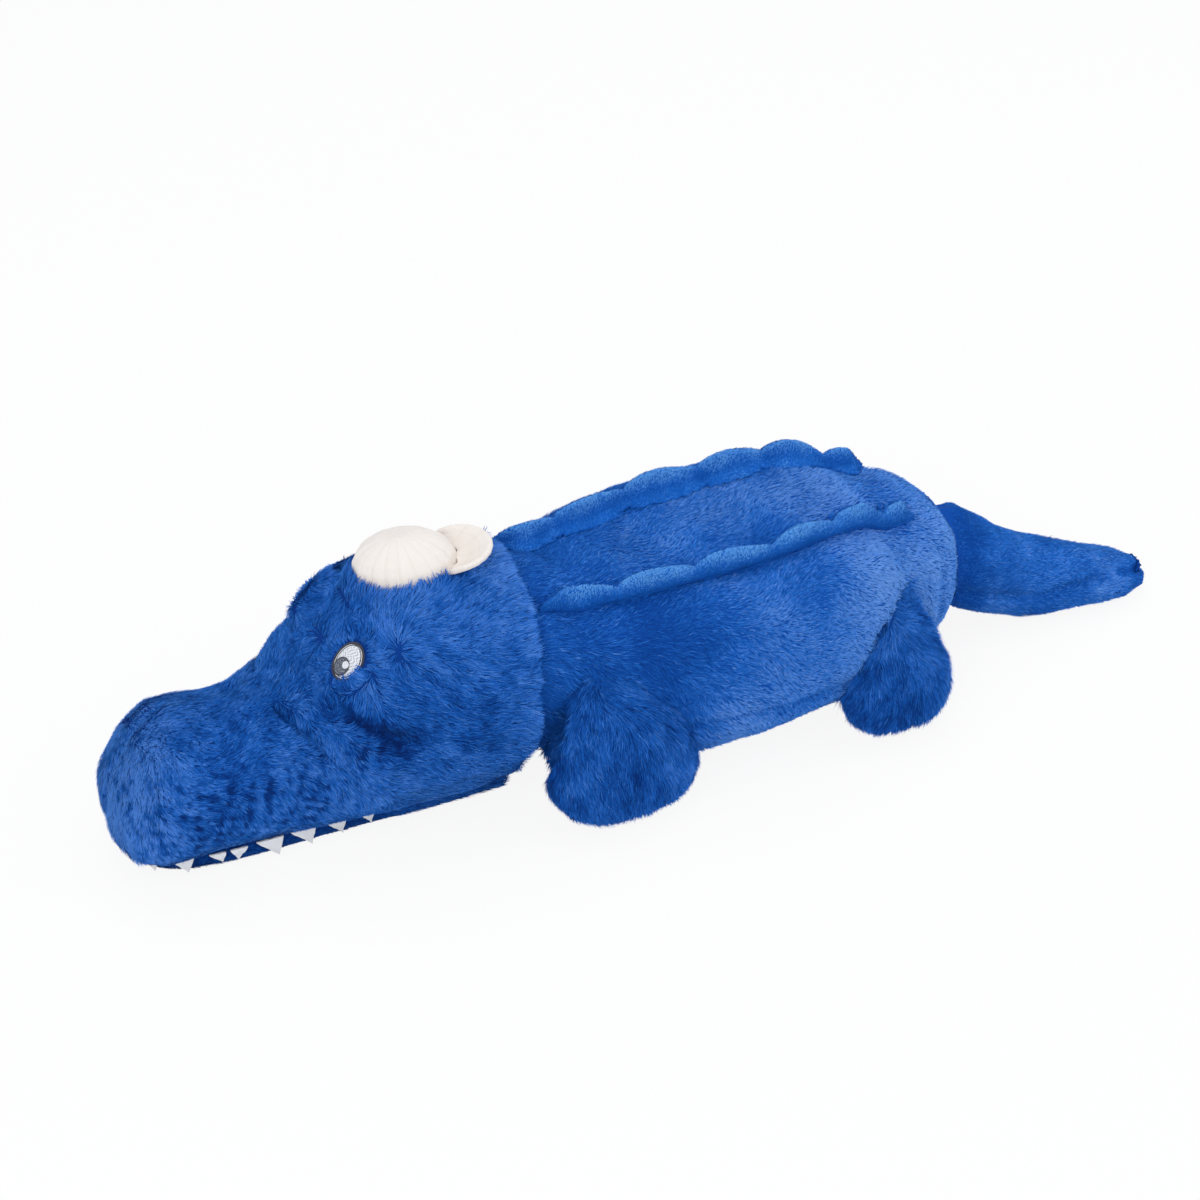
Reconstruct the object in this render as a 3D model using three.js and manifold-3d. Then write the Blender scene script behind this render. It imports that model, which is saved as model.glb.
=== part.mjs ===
// Plush crocodile lying on its belly, about 0.8 m from nose to tail, with a little cotton cap sewn
// on its head. Nose toward -X, tail toward +X, the crocodile's left side toward -Y, up is +Z.
// Lengths are millimetres and angles are degrees. The origin is the middle of the flat strip that
// the belly rests on.
import * as THREE from 'three';
import { mergeVertices } from 'three/addons/utils/BufferGeometryUtils.js';
import Module from 'manifold-3d';

const wasm = await Module();
wasm.setup();

// Seams and cloth
const seamGap = 0.3;
const skinThickness = 7;
const restingFlat = 0.5;
const overrun = 12;

// Torso, measured between the pivots of the neck and the tail
const neckReach = 155;
const rumpReach = 133;
const torsoHalfWidth = 105;
const backHeight = 151;
const saddleDip = 6;
const ridgeSpread = 49;
const bellySeamHeight = 58;
const neckBallRadius = 70;
const neckBallHeight = 90;
const rumpRadius = 63;
const rumpHeight = 132;

// Scalloped ridges along the back
const ridgeThickness = 7;
const ridgeCrest = 15;
const ridgeDip = 10;
const ridgeRoot = 6;

// Head, measured forward from the neck pivot
const headLength = 280;
const cheekHalfWidth = 82;
const crownHeight = 181;
const mouthHeight = 17;
const hoodDepth = 22;
const hoodSetback = 5;
const hoodLean = 5.5;
const headTurn = -5;

// Chin and felt teeth
const chinHalfWidth = 36;
const chinSetback = 9;
const toothWidth = 16;
const toothHeight = 13;
const toothThickness = 2;

// Embroidered eyes
const eyeForward = 122;
const eyeOffset = 41;
const eyeHalfLength = 13.5;
const eyeHalfWidth = 10.5;
const eyeThread = 1.4;
const eyeOutlineWidth = 2.2;
const pupilHalfLength = 5.6;
const pupilHalfWidth = 4.8;
const pupilOffset = 3;

// Cotton cap
const capForward = 66;
const capHalfLength = 35;
const capHalfWidth = 25;
const capHeight = 21.5;
const capAside = -1;
const capTopForward = 3.5;
const capTopAside = 4;
const capRibs = 12;
const brimReach = 21;
const brimRise = 6;
const brimThickness = 4;
const brimFrom = -54;
const brimTo = 40;
const hemRadius = 2.6;

// Tail, measured from its pivot in the rump
const tailLength = 216;
const tailHalfWidth = 37;
const tailHeight = 88;
const tailSeamRise = 18;
const tailSeamRoot = 8;
const tailNotchDepth = 16;
const tailNotchGape = 9;
const tailTurn = -11;

// Legs: how far each stands from the middle, and the size of its paw
const frontLegPlace = -109;
const frontPawHalfWidth = 58;
const frontPawHalfDepth = 36;
const frontLegReach = 86;
const frontLegHeight = 115;
const hindLegPlace = 97;
const hindPawHalfWidth = 44;
const hindPawHalfDepth = 32;
const hindLegReach = 94;
const hindLegHeight = 96;
const frontShoulderHeight = 113;
const hindShoulderHeight = 96;
const legOpening = 30;

// How far the head turns each way and nods up, for the room that the front legs leave it
const headSwing = 10;
const headNod = 8;
const sweepSteps = 2;
const hoodClearance = 4;

// Roundness of the sections above and below their widest line: 2 is an ellipse, more is fuller
const torsoRoundness = { top: 2.1, below: 2.35 };
const rumpRoundness = { top: 2, below: 2.35 };
const headRoundness = { top: 2.15, below: 2 };
const tailRoundness = { top: 2, below: 2.4 };
const legRoundness = 2.4;
const ridgeRoundness = 0.7;
const brimRoundness = 0.6;
const brimCurl = 1.6;

// Facets round each form and steps along it: the cloth's outer face, then its lining
const torsoMesh = { steps: 10, facets: 20 };
const torsoLining = { steps: 4, facets: 12 };
const headMesh = { steps: 16, facets: 18 };
const headLining = { steps: 6, facets: 12 };
const tailMesh = { steps: 8, facets: 12 };
const tailLining = { steps: 4, facets: 10 };
const legMesh = { steps: 6, facets: 13 };
const legLining = { steps: 3, facets: 8 };
const chinSteps = { side: 6, front: 4 };
const capSteps = { ribFacets: 3, levels: 5 };
const brimFacets = 3;
const seamSteps = 6;
const ballFacets = 24;
const lobeSteps = 4;
const brimSteps = 12;
const eyeFacets = 14;
const hemFacets = 6;

// Shares of the lengths above, at stations from one end of each form to the other
const torsoStationShares = [0.02, 0.075, 0.165, 0.295, 0.46, 0.625, 0.785, 0.9, 0.985];
const torsoWidthShares = [0.5, 0.615, 0.77, 0.92, 1, 0.99, 0.92, 0.78, 0.55];
const torsoTopShares = [0.88, 0.99, 1, 1, 1, 1, 1, 0.97, 0.87];
const torsoLiftShares = [0.3, 0.17, 0.04, 0, 0, 0, 0, 0, 0.01];
const bellySeamShares = [0.62, 0.74, 0.96, 1, 0.97, 0.9, 0.76, 0.58, 0.34];
const ridgeSpreadShares = [0.78, 0.77, 0.81, 0.93, 1, 0.99, 0.93, 0.83, 0.66];
const torsoMiddleShare = 0.42;
const backRootShare = 0.7;
const rumpMiddleShare = 0.4;
const headMiddleShare = 0.5;
const headStationShares = [-0.05, 0, 0.11, 0.25, 0.36, 0.45, 0.54, 0.64, 0.73, 0.84, 0.92, 0.97];
const headWidthShares = [0.95, 0.985, 1, 0.99, 0.965, 0.9, 0.8, 0.71, 0.695, 0.73, 0.7, 0.57];
const headTopShares = [0.94, 0.96, 0.99, 1, 0.96, 0.86, 0.695, 0.605, 0.59, 0.6, 0.49, 0.35];
const headLiftShares = [0.05, 0.035, 0.01, 0, 0, 0, 0, 0, 0, 0.01, 0.035, 0.07];
const noseTipShare = 0.15;
const chinStationShares = [0, 0.11, 0.33, 0.55, 0.73, 0.83, 0.9, 0.955, 0.985];
const chinWidthShares = [0.9, 0.97, 0.95, 0.96, 1, 0.95, 0.84, 0.6, 0.32];
const chinLevelShares = [0, 0.2, 0.5, 1];
const chinSwellShares = [0.84, 0.94, 1, 1];
const toothPlaceShares = [0.985, 0.945, 0.875, 0.798, 0.746, 0.667, 0.583, 0.503, 0.425];
const toothSizeShares = [0.62, 0.8, 0.98, 0.72, 0.78, 1.2, 1.12, 1, 0.85];
const toothLeanShares = [0.1, 0.1, 0.15, 0.35, 0, 0.35, 0.4, 0.45, 0.45];
const tailStationShares = [0.19, 0.35, 0.5, 0.65, 0.78, 0.9, 0.965];
const tailWidthShares = [0.9, 0.91, 0.89, 0.84, 0.76, 0.62, 0.38];
const tailTopShares = [1.33, 1.06, 0.78, 0.59, 0.47, 0.37, 0.29];
const tailLiftShares = [0.26, 0.14, 0.02, 0, 0, 0, 0.03];
const tailMiddleShare = 0.42;
const tailStuffingShare = 0.86;
const legPathShares = [[0.5, 1], [0.72, 0.8], [0.9, 0.55], [1, 0.36], [1.05, 0.22]];
const legSwellShares = [0.72, 0.94, 1, 0.94, 0.68];
const legPoleShare = 0.2;
const ridgeLobeShares = [0.08, 0.215, 0.41, 0.61, 0.78, 0.94, 1.04];
const ridgeLeanShare = 0.35;
const ridgeEndShare = 0.35;
const ridgeShoulderShare = 0.8;
const capRibShare = 0.035;
const capTaperShare = 0.95;
const capRootShare = 0.7;
const capTopShare = 0.9;
const brimRootShare = 0.8;
const brimEndShare = 0.02;
const brimLowShare = 0.4;
const hemOverlapShare = 1.1;
const eyeLeanShare = 0.45;
const mouthBackShare = 0.8;
const mouthFrontShare = 0.87;
const backOverrunShare = 0.5;

const deg = THREE.MathUtils.degToRad;
const torsoLength = neckReach + rumpReach;
const chinLength = headLength - chinSetback;
const neckPivot = new THREE.Vector3(-neckReach, 0, neckBallHeight);
const tailPivot = new THREE.Vector3(rumpReach, 0, 0);

// Value at a place on a smooth curve through a table, held level past its ends
function along(stations, values, place) {
  const last = stations.length - 1;
  const at = Math.min(Math.max(place, stations[0]), stations[last]);
  let i = 0;
  while (i < last - 1 && at > stations[i + 1]) i += 1;
  const slope = (k) => {
    const before = Math.max(k - 1, 0);
    const after = Math.min(k + 1, last);
    return (values[after] - values[before]) / (stations[after] - stations[before]);
  };
  const span = stations[i + 1] - stations[i];
  const t = (at - stations[i]) / span;
  const start = values[i] * (1 + 2 * t) * (1 - t) ** 2 + values[i + 1] * t * t * (3 - 2 * t);
  return start + slope(i) * span * t * (1 - t) ** 2 + slope(i + 1) * span * t * t * (t - 1);
}

const evenly = (count, from, to) =>
  Array.from({ length: count + 1 }, (_, i) => from + ((to - from) * i) / count);

const around = (count) => evenly(count, 0, 2 * Math.PI).slice(0, count);

const power = (value, exponent) => Math.sign(value) * Math.abs(value) ** exponent;

// Closed skin through rings with equal numbers of points, closed by a point at each end
function loft(rings, first, last) {
  const size = rings[0].length;
  const points = [first, ...rings.flat(), last];
  const faces = [];
  for (let k = 0; k < size; k += 1) {
    const next = (k + 1) % size;
    faces.push(0, 1 + next, 1 + k);
    for (let r = 0; r + 1 < rings.length; r += 1) {
      const low = 1 + r * size;
      const high = low + size;
      faces.push(low + k, low + next, high + next, low + k, high + next, high + k);
    }
    const top = 1 + (rings.length - 1) * size;
    faces.push(points.length - 1, top + k, top + next);
  }
  const geometry = new THREE.BufferGeometry();
  geometry.setAttribute('position', new THREE.Float32BufferAttribute(points.flatMap((p) => p.toArray()), 3));
  geometry.setIndex(faces);
  return geometry;
}

function volume(geometry) {
  const { position } = geometry.attributes;
  const at = (i) => new THREE.Vector3().fromBufferAttribute(position, geometry.index.getX(i));
  let sum = 0;
  for (let i = 0; i < geometry.index.count; i += 3) sum += at(i).dot(at(i + 1).cross(at(i + 2)));
  return sum;
}

// Solid of a closed geometry, whichever way its faces were wound
function solid(source) {
  const bare = source.clone();
  bare.deleteAttribute('normal');
  bare.deleteAttribute('uv');
  const geometry = mergeVertices(bare);
  const triVerts = new Uint32Array(geometry.index.array);
  if (volume(geometry) < 0) {
    for (let i = 0; i < triVerts.length; i += 3) triVerts.subarray(i, i + 3).reverse();
  }
  const vertProperties = new Float32Array(geometry.attributes.position.array);
  return new wasm.Manifold(new wasm.Mesh({ numProp: 3, vertProperties, triVerts }));
}

// Block between two corners, given as [x, y, z]
function block(low, high) {
  const [a, b] = [new THREE.Vector3(...low), new THREE.Vector3(...high)];
  const size = b.clone().sub(a);
  const middle = a.clone().add(b).multiplyScalar(1 / 2);
  return solid(new THREE.BoxGeometry(size.x, size.y, size.z).translate(middle.x, middle.y, middle.z));
}

// Upright column with an outline of [x, y] places
function column(outline, low, high) {
  const shape = new THREE.Shape(outline.map(([x, y]) => new THREE.Vector2(x, y)));
  const settings = { depth: high - low, bevelEnabled: false };
  return solid(new THREE.ExtrudeGeometry(shape, settings).translate(0, 0, low));
}

// Bar lying along Y with an outline of [x, z] places
function bar(outline, halfWidth) {
  const shape = new THREE.Shape(outline.map(([x, z]) => new THREE.Vector2(x, z)));
  const settings = { depth: 2 * halfWidth, bevelEnabled: false };
  return solid(new THREE.ExtrudeGeometry(shape, settings).rotateX(Math.PI / 2).translate(0, halfWidth, 0));
}

const ball = (radius, centre, facets = ballFacets) =>
  solid(new THREE.SphereGeometry(radius, facets, facets / 2).rotateX(Math.PI / 2)
    .translate(centre.x, centre.y, centre.z));
// Hollow that clears a ball of the given radius at every facet, however either is turned
const socket = (radius, centre) => ball((radius + seamGap) / Math.cos(Math.PI / ballFacets) ** 2, centre);

// Rounded rump, turned about the upright axis that the tail swings on
function rump(inset, clear, facets = ballFacets) {
  const middle = rumpHeight * rumpMiddleShare;
  const profile = evenly(facets / 2, -Math.PI / 2, Math.PI / 2).map((angle) => {
    const half = angle > 0 ? rumpHeight - middle - inset : middle + restingFlat - inset;
    const round = 2 / (angle > 0 ? rumpRoundness.top : rumpRoundness.below);
    const reach = (rumpRadius - inset) * power(Math.cos(angle), round) * clear;
    return new THREE.Vector2(Math.max(reach, 0), middle + half * power(Math.sin(angle), round));
  });
  profile[0].x = 0;
  profile[profile.length - 1].x = 0;
  return solid(new THREE.LatheGeometry(profile, facets).rotateX(Math.PI / 2));
}
const rumpSocket = () => rump(-seamGap, 1 / Math.cos(Math.PI / ballFacets) ** 2);

// Upright section of a stuffed form: rounded above and below its widest line
function stuffedRing(x, form, count) {
  const middle = form.low + (form.high - form.low) * form.middle;
  return around(count).map((angle) => {
    const rise = Math.sin(angle) > 0 ? form.high - middle : middle - form.low;
    const round = 2 / (Math.sin(angle) > 0 ? form.round.top : form.round.below);
    const y = form.half * power(Math.cos(angle), round);
    const z = middle + rise * power(Math.sin(angle), round);
    const dip = Math.sin(angle) > 0 ? form.dip * Math.max(0, 1 - (y / form.spread) ** 2) : 0;
    return new THREE.Vector3(x, y, z - dip);
  });
}

// Height of the upper surface of such a section at a distance from its middle
function heightAt(form, y) {
  const middle = form.low + (form.high - form.low) * form.middle;
  const rest = Math.max(0, 1 - Math.abs(y / form.half) ** form.round.top);
  const dip = form.dip * Math.max(0, 1 - (y / form.spread) ** 2);
  return middle + (form.high - middle) * rest ** (1 / form.round.top) - dip;
}

const onRing = (ring) => ring.reduce((sum, p) => sum.add(p), new THREE.Vector3()).divideScalar(ring.length);

// Torso
const ridgeSpreadAt = (share) => ridgeSpread * along(torsoStationShares, ridgeSpreadShares, share);

function torsoForm(share, inset) {
  return {
    half: torsoHalfWidth * along(torsoStationShares, torsoWidthShares, share) - inset,
    high: backHeight * along(torsoStationShares, torsoTopShares, share) - inset,
    low: backHeight * along(torsoStationShares, torsoLiftShares, share) - restingFlat + inset,
    middle: torsoMiddleShare,
    round: torsoRoundness,
    dip: saddleDip * Math.sin(Math.PI * share),
    spread: ridgeSpreadAt(share),
  };
}

function torsoSolid(inset, mesh) {
  const shares = evenly(mesh.steps, torsoStationShares[0], torsoStationShares.at(-1));
  const rings = shares.map((share) =>
    stuffedRing(neckPivot.x + torsoLength * share, torsoForm(share, inset), mesh.facets));
  const body = solid(loft(rings, onRing(rings[0]), onRing(rings.at(-1))));
  const facets = inset > 0 ? ballFacets / 2 : ballFacets;
  return body.add(ball(neckBallRadius - inset, neckPivot, facets))
    .add(rump(inset, 1, facets).translate(tailPivot.toArray()));
}

const far = torsoLength;
const aboveFloor = block([-2 * far, -far, 0], [2 * far, far, 2 * far]);
const torsoOuter = torsoSolid(0, torsoMesh).intersect(aboveFloor);
const torsoRoom = torsoSolid(-seamGap, torsoMesh);
const torsoHollow = torsoSolid(skinThickness, torsoLining);
// Firm wad that the head turns on, clear of the lining at every facet
const neckWadRadius = (neckBallRadius - skinThickness) * Math.cos((2 * Math.PI) / ballFacets) ** 2 - seamGap;
const neckStuffing = ball(neckWadRadius, neckPivot);
const torsoStuffing = torsoSolid(skinThickness + seamGap, torsoLining)
  .intersect(block([neckPivot.x, -far, -far], [far, far, far])).subtract(socket(neckWadRadius, neckPivot));
const torsoSkin = torsoOuter.subtract(torsoHollow);

// Plan outline of the strip of back between the ridges, a margin wider on each side
function backOutline(margin) {
  const shares = [-backOverrunShare, ...evenly(torsoMesh.steps / 2, 0, 1), 1 + backOverrunShare];
  const edge = shares.map((share) => [neckPivot.x + torsoLength * share, ridgeSpreadAt(share) + margin]);
  return [...edge, ...edge.map(([x, y]) => [x, -y]).reverse()];
}

const backZone = (margin) => column(backOutline(margin), neckBallHeight * backRootShare, 2 * far);

// Everything under the seam between the sides and the belly, which falls towards the tail
function bellyZone(margin) {
  const line = evenly(torsoMesh.steps, -1, 1 + backOverrunShare).map((share) => [
    neckPivot.x + torsoLength * share,
    bellySeamHeight * along(torsoStationShares, bellySeamShares, share) + margin,
  ]);
  return bar([...line, [line.at(-1)[0], -far], [line[0][0], -far]], far);
}

function sidePanel(side) {
  const low = side < 0 ? -far : seamGap / 2;
  const half = block([-far, low, -far], [far, low + far - seamGap / 2, far]);
  return torsoSkin.intersect(half).subtract(backZone(seamGap)).subtract(bellyZone(seamGap));
}

// Height of the torso or the rump, whichever is higher, along the line of the ridges
function ridgeBase(x, y) {
  const back = heightAt(torsoForm((x - neckPivot.x) / torsoLength, 0), y);
  const middle = rumpHeight * rumpMiddleShare;
  const reach = Math.min(1, Math.hypot(x - tailPivot.x, y) / rumpRadius);
  const rear = middle + (rumpHeight - middle) * (1 - reach ** rumpRoundness.top) ** (1 / rumpRoundness.top);
  return x < tailPivot.x ? Math.max(back, rear) : rear;
}

// Scalloped ridge: one lobe after another, each rising from the seam and falling back to it
function ridge(side) {
  const lobes = ridgeLobeShares.length - 1;
  const rings = evenly(lobes * lobeSteps, 0, lobes).map((t, i) => {
    const lobe = Math.min(Math.floor(t), lobes - 1);
    const share = THREE.MathUtils.lerp(ridgeLobeShares[lobe], ridgeLobeShares[lobe + 1], t - lobe);
    const wave = Math.abs(Math.sin((Math.PI * i) / lobeSteps)) ** ridgeRoundness;
    const end = i === 0 || i === lobes * lobeSteps ? ridgeEndShare : 1;
    const crest = (ridgeDip + (ridgeCrest - ridgeDip) * wave) * end;
    const x = neckPivot.x + torsoLength * share;
    const y = ridgeSpreadAt(share);
    const base = ridgeBase(x, y);
    const shoulder = [ridgeShoulderShare * ridgeThickness / 2, crest / 2];
    const foot = [ridgeThickness / 2, -ridgeRoot];
    const outline = [[-foot[0], foot[1]], [-shoulder[0], shoulder[1]], [0, crest], shoulder, foot];
    return outline.map(([across, up]) =>
      new THREE.Vector3(x, side * (y + across + up * ridgeLeanShare), base + up));
  });
  return solid(loft(rings, onRing(rings[0]), onRing(rings.at(-1)))).subtract(torsoRoom);
}

// Head, in a frame of its own with the neck pivot at its origin
const headFloor = -neckBallHeight;
const origin = new THREE.Vector3();

function headForm(share, inset) {
  return {
    half: cheekHalfWidth * along(headStationShares, headWidthShares, share) - inset,
    high: crownHeight * along(headStationShares, headTopShares, share) - inset + headFloor,
    low: crownHeight * along(headStationShares, headLiftShares, share) - restingFlat + inset + headFloor,
    middle: headMiddleShare,
    round: headRoundness,
    dip: 0,
    spread: cheekHalfWidth,
  };
}

function headSolid(inset, mesh) {
  const shares = evenly(mesh.steps, headStationShares[0], headStationShares.at(-1));
  const rings = shares.map((share) => stuffedRing(-headLength * share, headForm(share, inset), mesh.facets));
  const nose = new THREE.Vector3(-(headLength - inset), 0, crownHeight * noseTipShare + headFloor);
  return solid(loft(rings, onRing(rings[0]), nose));
}

const forwardOf = (place) => block([-2 * far, -far, -far], [-place, far, far]);
// The hood's rear edge leans, so that it reaches further back over the neck than under it
const hoodFront = forwardOf(hoodSetback).rotate([0, hoodLean, 0]);
const neckSocket = socket(neckBallRadius, origin);
const headRoom = headSolid(-seamGap, headMesh);
const headOuter = headSolid(0, headMesh).intersect(hoodFront).subtract(neckSocket);
const headHollow = headSolid(skinThickness, headLining).intersect(forwardOf(hoodDepth));
const headStuffing = headSolid(skinThickness + seamGap, headLining).intersect(forwardOf(hoodDepth + seamGap))
  .subtract(neckSocket);

function headPanel(side) {
  const low = side < 0 ? -far : seamGap / 2;
  const half = block(
    [-2 * far, low, headFloor + mouthHeight],
    [far, low + far - seamGap / 2, far],
  );
  return headOuter.intersect(half).subtract(headHollow);
}

// Half width of the chin in plan at a share of its length, round to a point at the front
const chinHalfAt = (share) => chinHalfWidth * along(chinStationShares, chinWidthShares, share);

// Half of the chin's plan outline, from the throat to the middle of its front, pushed out a little
function chinEdge(push) {
  const front = evenly(chinSteps.front, mouthFrontShare, chinStationShares.at(-1));
  const places = [...evenly(chinSteps.side, 0, mouthBackShare), ...front];
  const edge = places.map((share) => new THREE.Vector2(-chinLength * share, chinHalfAt(share)));
  edge.push(new THREE.Vector2(-chinLength, 0));
  return edge.map((point, i) => {
    const next = edge[Math.min(i + 1, edge.length - 1)];
    const run = next.clone().sub(edge[Math.max(i - 1, 0)]).normalize();
    const out = i + 1 < edge.length ? new THREE.Vector2(run.y, -run.x) : new THREE.Vector2(-1, 0);
    return point.clone().addScaledVector(out, push);
  });
}

function chinSolid() {
  const edge = chinEdge(0);
  const middle = new THREE.Vector2(-chinLength / 2, 0);
  const outline = [...edge, ...edge.slice(0, -1).map((p) => new THREE.Vector2(p.x, -p.y)).reverse()];
  const rings = chinLevelShares.map((level, i) => outline.map((point) => {
    const place = point.clone().sub(middle).multiplyScalar(chinSwellShares[i]).add(middle);
    const rise = headFloor - restingFlat + (mouthHeight + restingFlat - seamGap) * level;
    return new THREE.Vector3(point.x < 0 ? place.x : 0, place.y, rise);
  }));
  return solid(loft(rings, onRing(rings[0]), onRing(rings.at(-1))));
}

// Felt triangle that hangs from the mouth seam with its face along the chin
function tooth(number, side) {
  const edge = chinEdge(seamGap + toothThickness / 2);
  const curve = new THREE.SplineCurve(edge);
  const places = edge.map((point) => -point.x / chinLength);
  const turns = evenly(edge.length - 1, 0, 1);
  const place = along(places, turns, toothPlaceShares[number]);
  const at = curve.getPoint(place);
  const run = curve.getTangent(place);
  const half = (toothWidth * toothSizeShares[number]) / 2;
  const tip = new THREE.Vector2(-2 * half * toothLeanShares[number], -toothHeight * toothSizeShares[number]);
  const shape = new THREE.Shape([new THREE.Vector2(-half, 0), new THREE.Vector2(half, 0), tip]);
  const settings = { depth: toothThickness, bevelEnabled: false };
  const geometry = new THREE.ExtrudeGeometry(shape, settings).translate(0, 0, -toothThickness / 2);
  geometry.rotateX(Math.PI / 2).rotateZ(Math.atan2(run.y, run.x));
  geometry.translate(at.x, at.y, headFloor + mouthHeight - seamGap).scale(1, side, 1);
  return solid(geometry);
}

// Place and direction of the head's surface at a distance forward and to one side
function headSurface(forward, offset, side) {
  const point = (f, o) => new THREE.Vector3(-f, side * o, heightAt(headForm(f / headLength, 0), o));
  const at = point(forward, offset);
  const ahead = point(forward + seamGap, offset).sub(at);
  const aside = point(forward, offset + seamGap).sub(at);
  const out = ahead.cross(aside).normalize();
  return { at, out: out.z < 0 ? out.negate() : out };
}

// Oval plug through the head's surface at the eye, its long side leaning with the brow
function eyePlug(side, halfLength, halfWidth, drop) {
  const { at, out } = headSurface(eyeForward, eyeOffset, side);
  const geometry = new THREE.CylinderGeometry(1, 1, 1, eyeFacets).rotateX(Math.PI / 2);
  geometry.scale(halfWidth, halfLength, 2 * overrun).translate(drop, -drop, 0);
  const up = new THREE.Vector3(eyeLeanShare, 0, 1).projectOnPlane(out).normalize();
  const across = up.clone().cross(out);
  const turned = new THREE.Matrix4().makeBasis(across, up, out).setPosition(at);
  return solid(geometry.applyMatrix4(turned));
}

function eye(side) {
  const thread = headSolid(-seamGap - eyeThread, headMesh).subtract(headRoom);
  const full = eyePlug(side, eyeHalfLength, eyeHalfWidth, 0);
  const rim = eyeOutlineWidth;
  const white = eyePlug(side, eyeHalfLength - rim, eyeHalfWidth - rim, 0);
  const fill = eyePlug(side, eyeHalfLength - rim - seamGap, eyeHalfWidth - rim - seamGap, 0);
  const hole = eyePlug(side, pupilHalfLength + seamGap, pupilHalfWidth + seamGap, -side * pupilOffset / 2);
  const pupil = eyePlug(side, pupilHalfLength, pupilHalfWidth, -side * pupilOffset / 2);
  return {
    outline: thread.intersect(full.subtract(white)),
    white: thread.intersect(fill.subtract(hole)),
    pupil: thread.intersect(pupil),
  };
}

// Cap crown: a dome with ribs that run from its edge to its top
const capSeat = heightAt(headForm(capForward / headLength, 0), 0);
const capPlace = new THREE.Vector3(-capForward, capAside, capSeat);

function capCrown(grow) {
  const levels = [-capRootShare, ...evenly(capSteps.levels, 0, capTopShare)];
  const rings = levels.map((level) => around(capSteps.ribFacets * capRibs).map((angle) => {
    const lean = Math.max(level, 0) * (Math.PI / 2);
    const rib = 1 + capRibShare * Math.cos(capRibs * angle);
    const reach = Math.cos(lean) ** capTaperShare * rib;
    const rise = level < 0 ? capHeight * level : (capHeight + grow) * Math.sin(lean);
    return new THREE.Vector3(
      (capHalfLength * reach + grow) * Math.cos(angle) - capTopForward * Math.sin(lean),
      (capHalfWidth * reach + grow) * Math.sin(angle) + capTopAside * Math.sin(lean),
      rise,
    ).add(capPlace);
  }));
  const top = capPlace.clone().add(new THREE.Vector3(-capTopForward, capTopAside, capHeight + grow));
  return solid(loft(rings, onRing(rings[0]), top));
}

// Point on the turned-up brim behind the crown: share 0 under the crown, 1 at the free edge
function brimPoint(turn, share, lift) {
  const angle = deg(brimFrom + (brimTo - brimFrom) * turn);
  const inner = THREE.MathUtils.clamp(turn, brimEndShare, 1 - brimEndShare);
  const wide = Math.sin(Math.PI * inner) ** brimRoundness;
  const out = (brimReach * wide + brimThickness) * share;
  const seat = heightAt(headForm((capForward - capHalfLength) / headLength, 0), 0) - capSeat;
  const rise = brimRise * share ** brimCurl * THREE.MathUtils.lerp(brimLowShare, 1, wide);
  return new THREE.Vector3(
    (capHalfLength * brimRootShare + out) * Math.cos(angle),
    (capHalfWidth * brimRootShare + out) * Math.sin(angle),
    seat + brimThickness / 2 + rise + lift,
  ).add(capPlace);
}

function capBrim() {
  const half = brimThickness / 2;
  const rings = evenly(brimSteps, 0, 1).map((turn) => [
    ...evenly(brimFacets, 0, 1).map((share) => brimPoint(turn, share, half)),
    ...evenly(brimFacets, 1, 0).map((share) => brimPoint(turn, share, -half)),
  ]);
  return solid(loft(rings, onRing(rings[0]), onRing(rings.at(-1))));
}

function capHem() {
  const rings = evenly(brimSteps, 0, 1).map((turn) => {
    const edge = brimPoint(turn, 1, 0);
    const out = edge.clone().sub(brimPoint(turn, brimRootShare, 0)).normalize();
    const up = new THREE.Vector3(0, 0, 1).projectOnPlane(out).normalize();
    return around(hemFacets).map((angle) => edge.clone()
      .addScaledVector(out, hemRadius * (hemOverlapShare + Math.cos(angle)))
      .addScaledVector(up, hemRadius * Math.sin(angle)));
  });
  return solid(loft(rings, onRing(rings[0]), onRing(rings.at(-1))));
}

// Tail, in a frame of its own with its pivot at the origin
function tailForm(share, inset) {
  return {
    half: tailHalfWidth * along(tailStationShares, tailWidthShares, share) - inset,
    high: tailHeight * along(tailStationShares, tailTopShares, share) - inset,
    low: tailHeight * along(tailStationShares, tailLiftShares, share) - restingFlat + inset,
    middle: tailMiddleShare,
    round: tailRoundness,
    dip: 0,
    spread: tailHalfWidth,
  };
}

function tailSolid(inset, end, mesh) {
  const shares = evenly(mesh.steps, tailStationShares[0], end);
  const rings = shares.map((share) => stuffedRing(tailLength * share, tailForm(share, inset), mesh.facets));
  const last = onRing(rings.at(-1));
  const tip = end < tailStationShares.at(-1) ? last.x : tailLength;
  return solid(loft(rings, onRing(rings[0]), new THREE.Vector3(tip, 0, last.z)));
}

// Seam along the tail's sides, which keeps above the underside, and the notch between its two tips
function aboveTailSeam(gap) {
  const line = evenly(seamSteps, 0, 1).map((share) => [
    tailLength * share,
    tailForm(share, 0).low + tailSeamRoot + (tailSeamRise - tailSeamRoot) * share + gap,
  ]);
  return bar([...line, [tailLength + overrun, line.at(-1)[1]], [tailLength + overrun, 2 * tailHeight],
    [0, 2 * tailHeight]], 2 * tailHalfWidth);
}
const tailNotch = bar([
  [tailLength - tailNotchDepth, tailSeamRise],
  [tailLength + overrun, tailSeamRise - tailNotchGape],
  [tailLength + overrun, tailSeamRise + tailNotchGape],
], 2 * tailHalfWidth);

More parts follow.
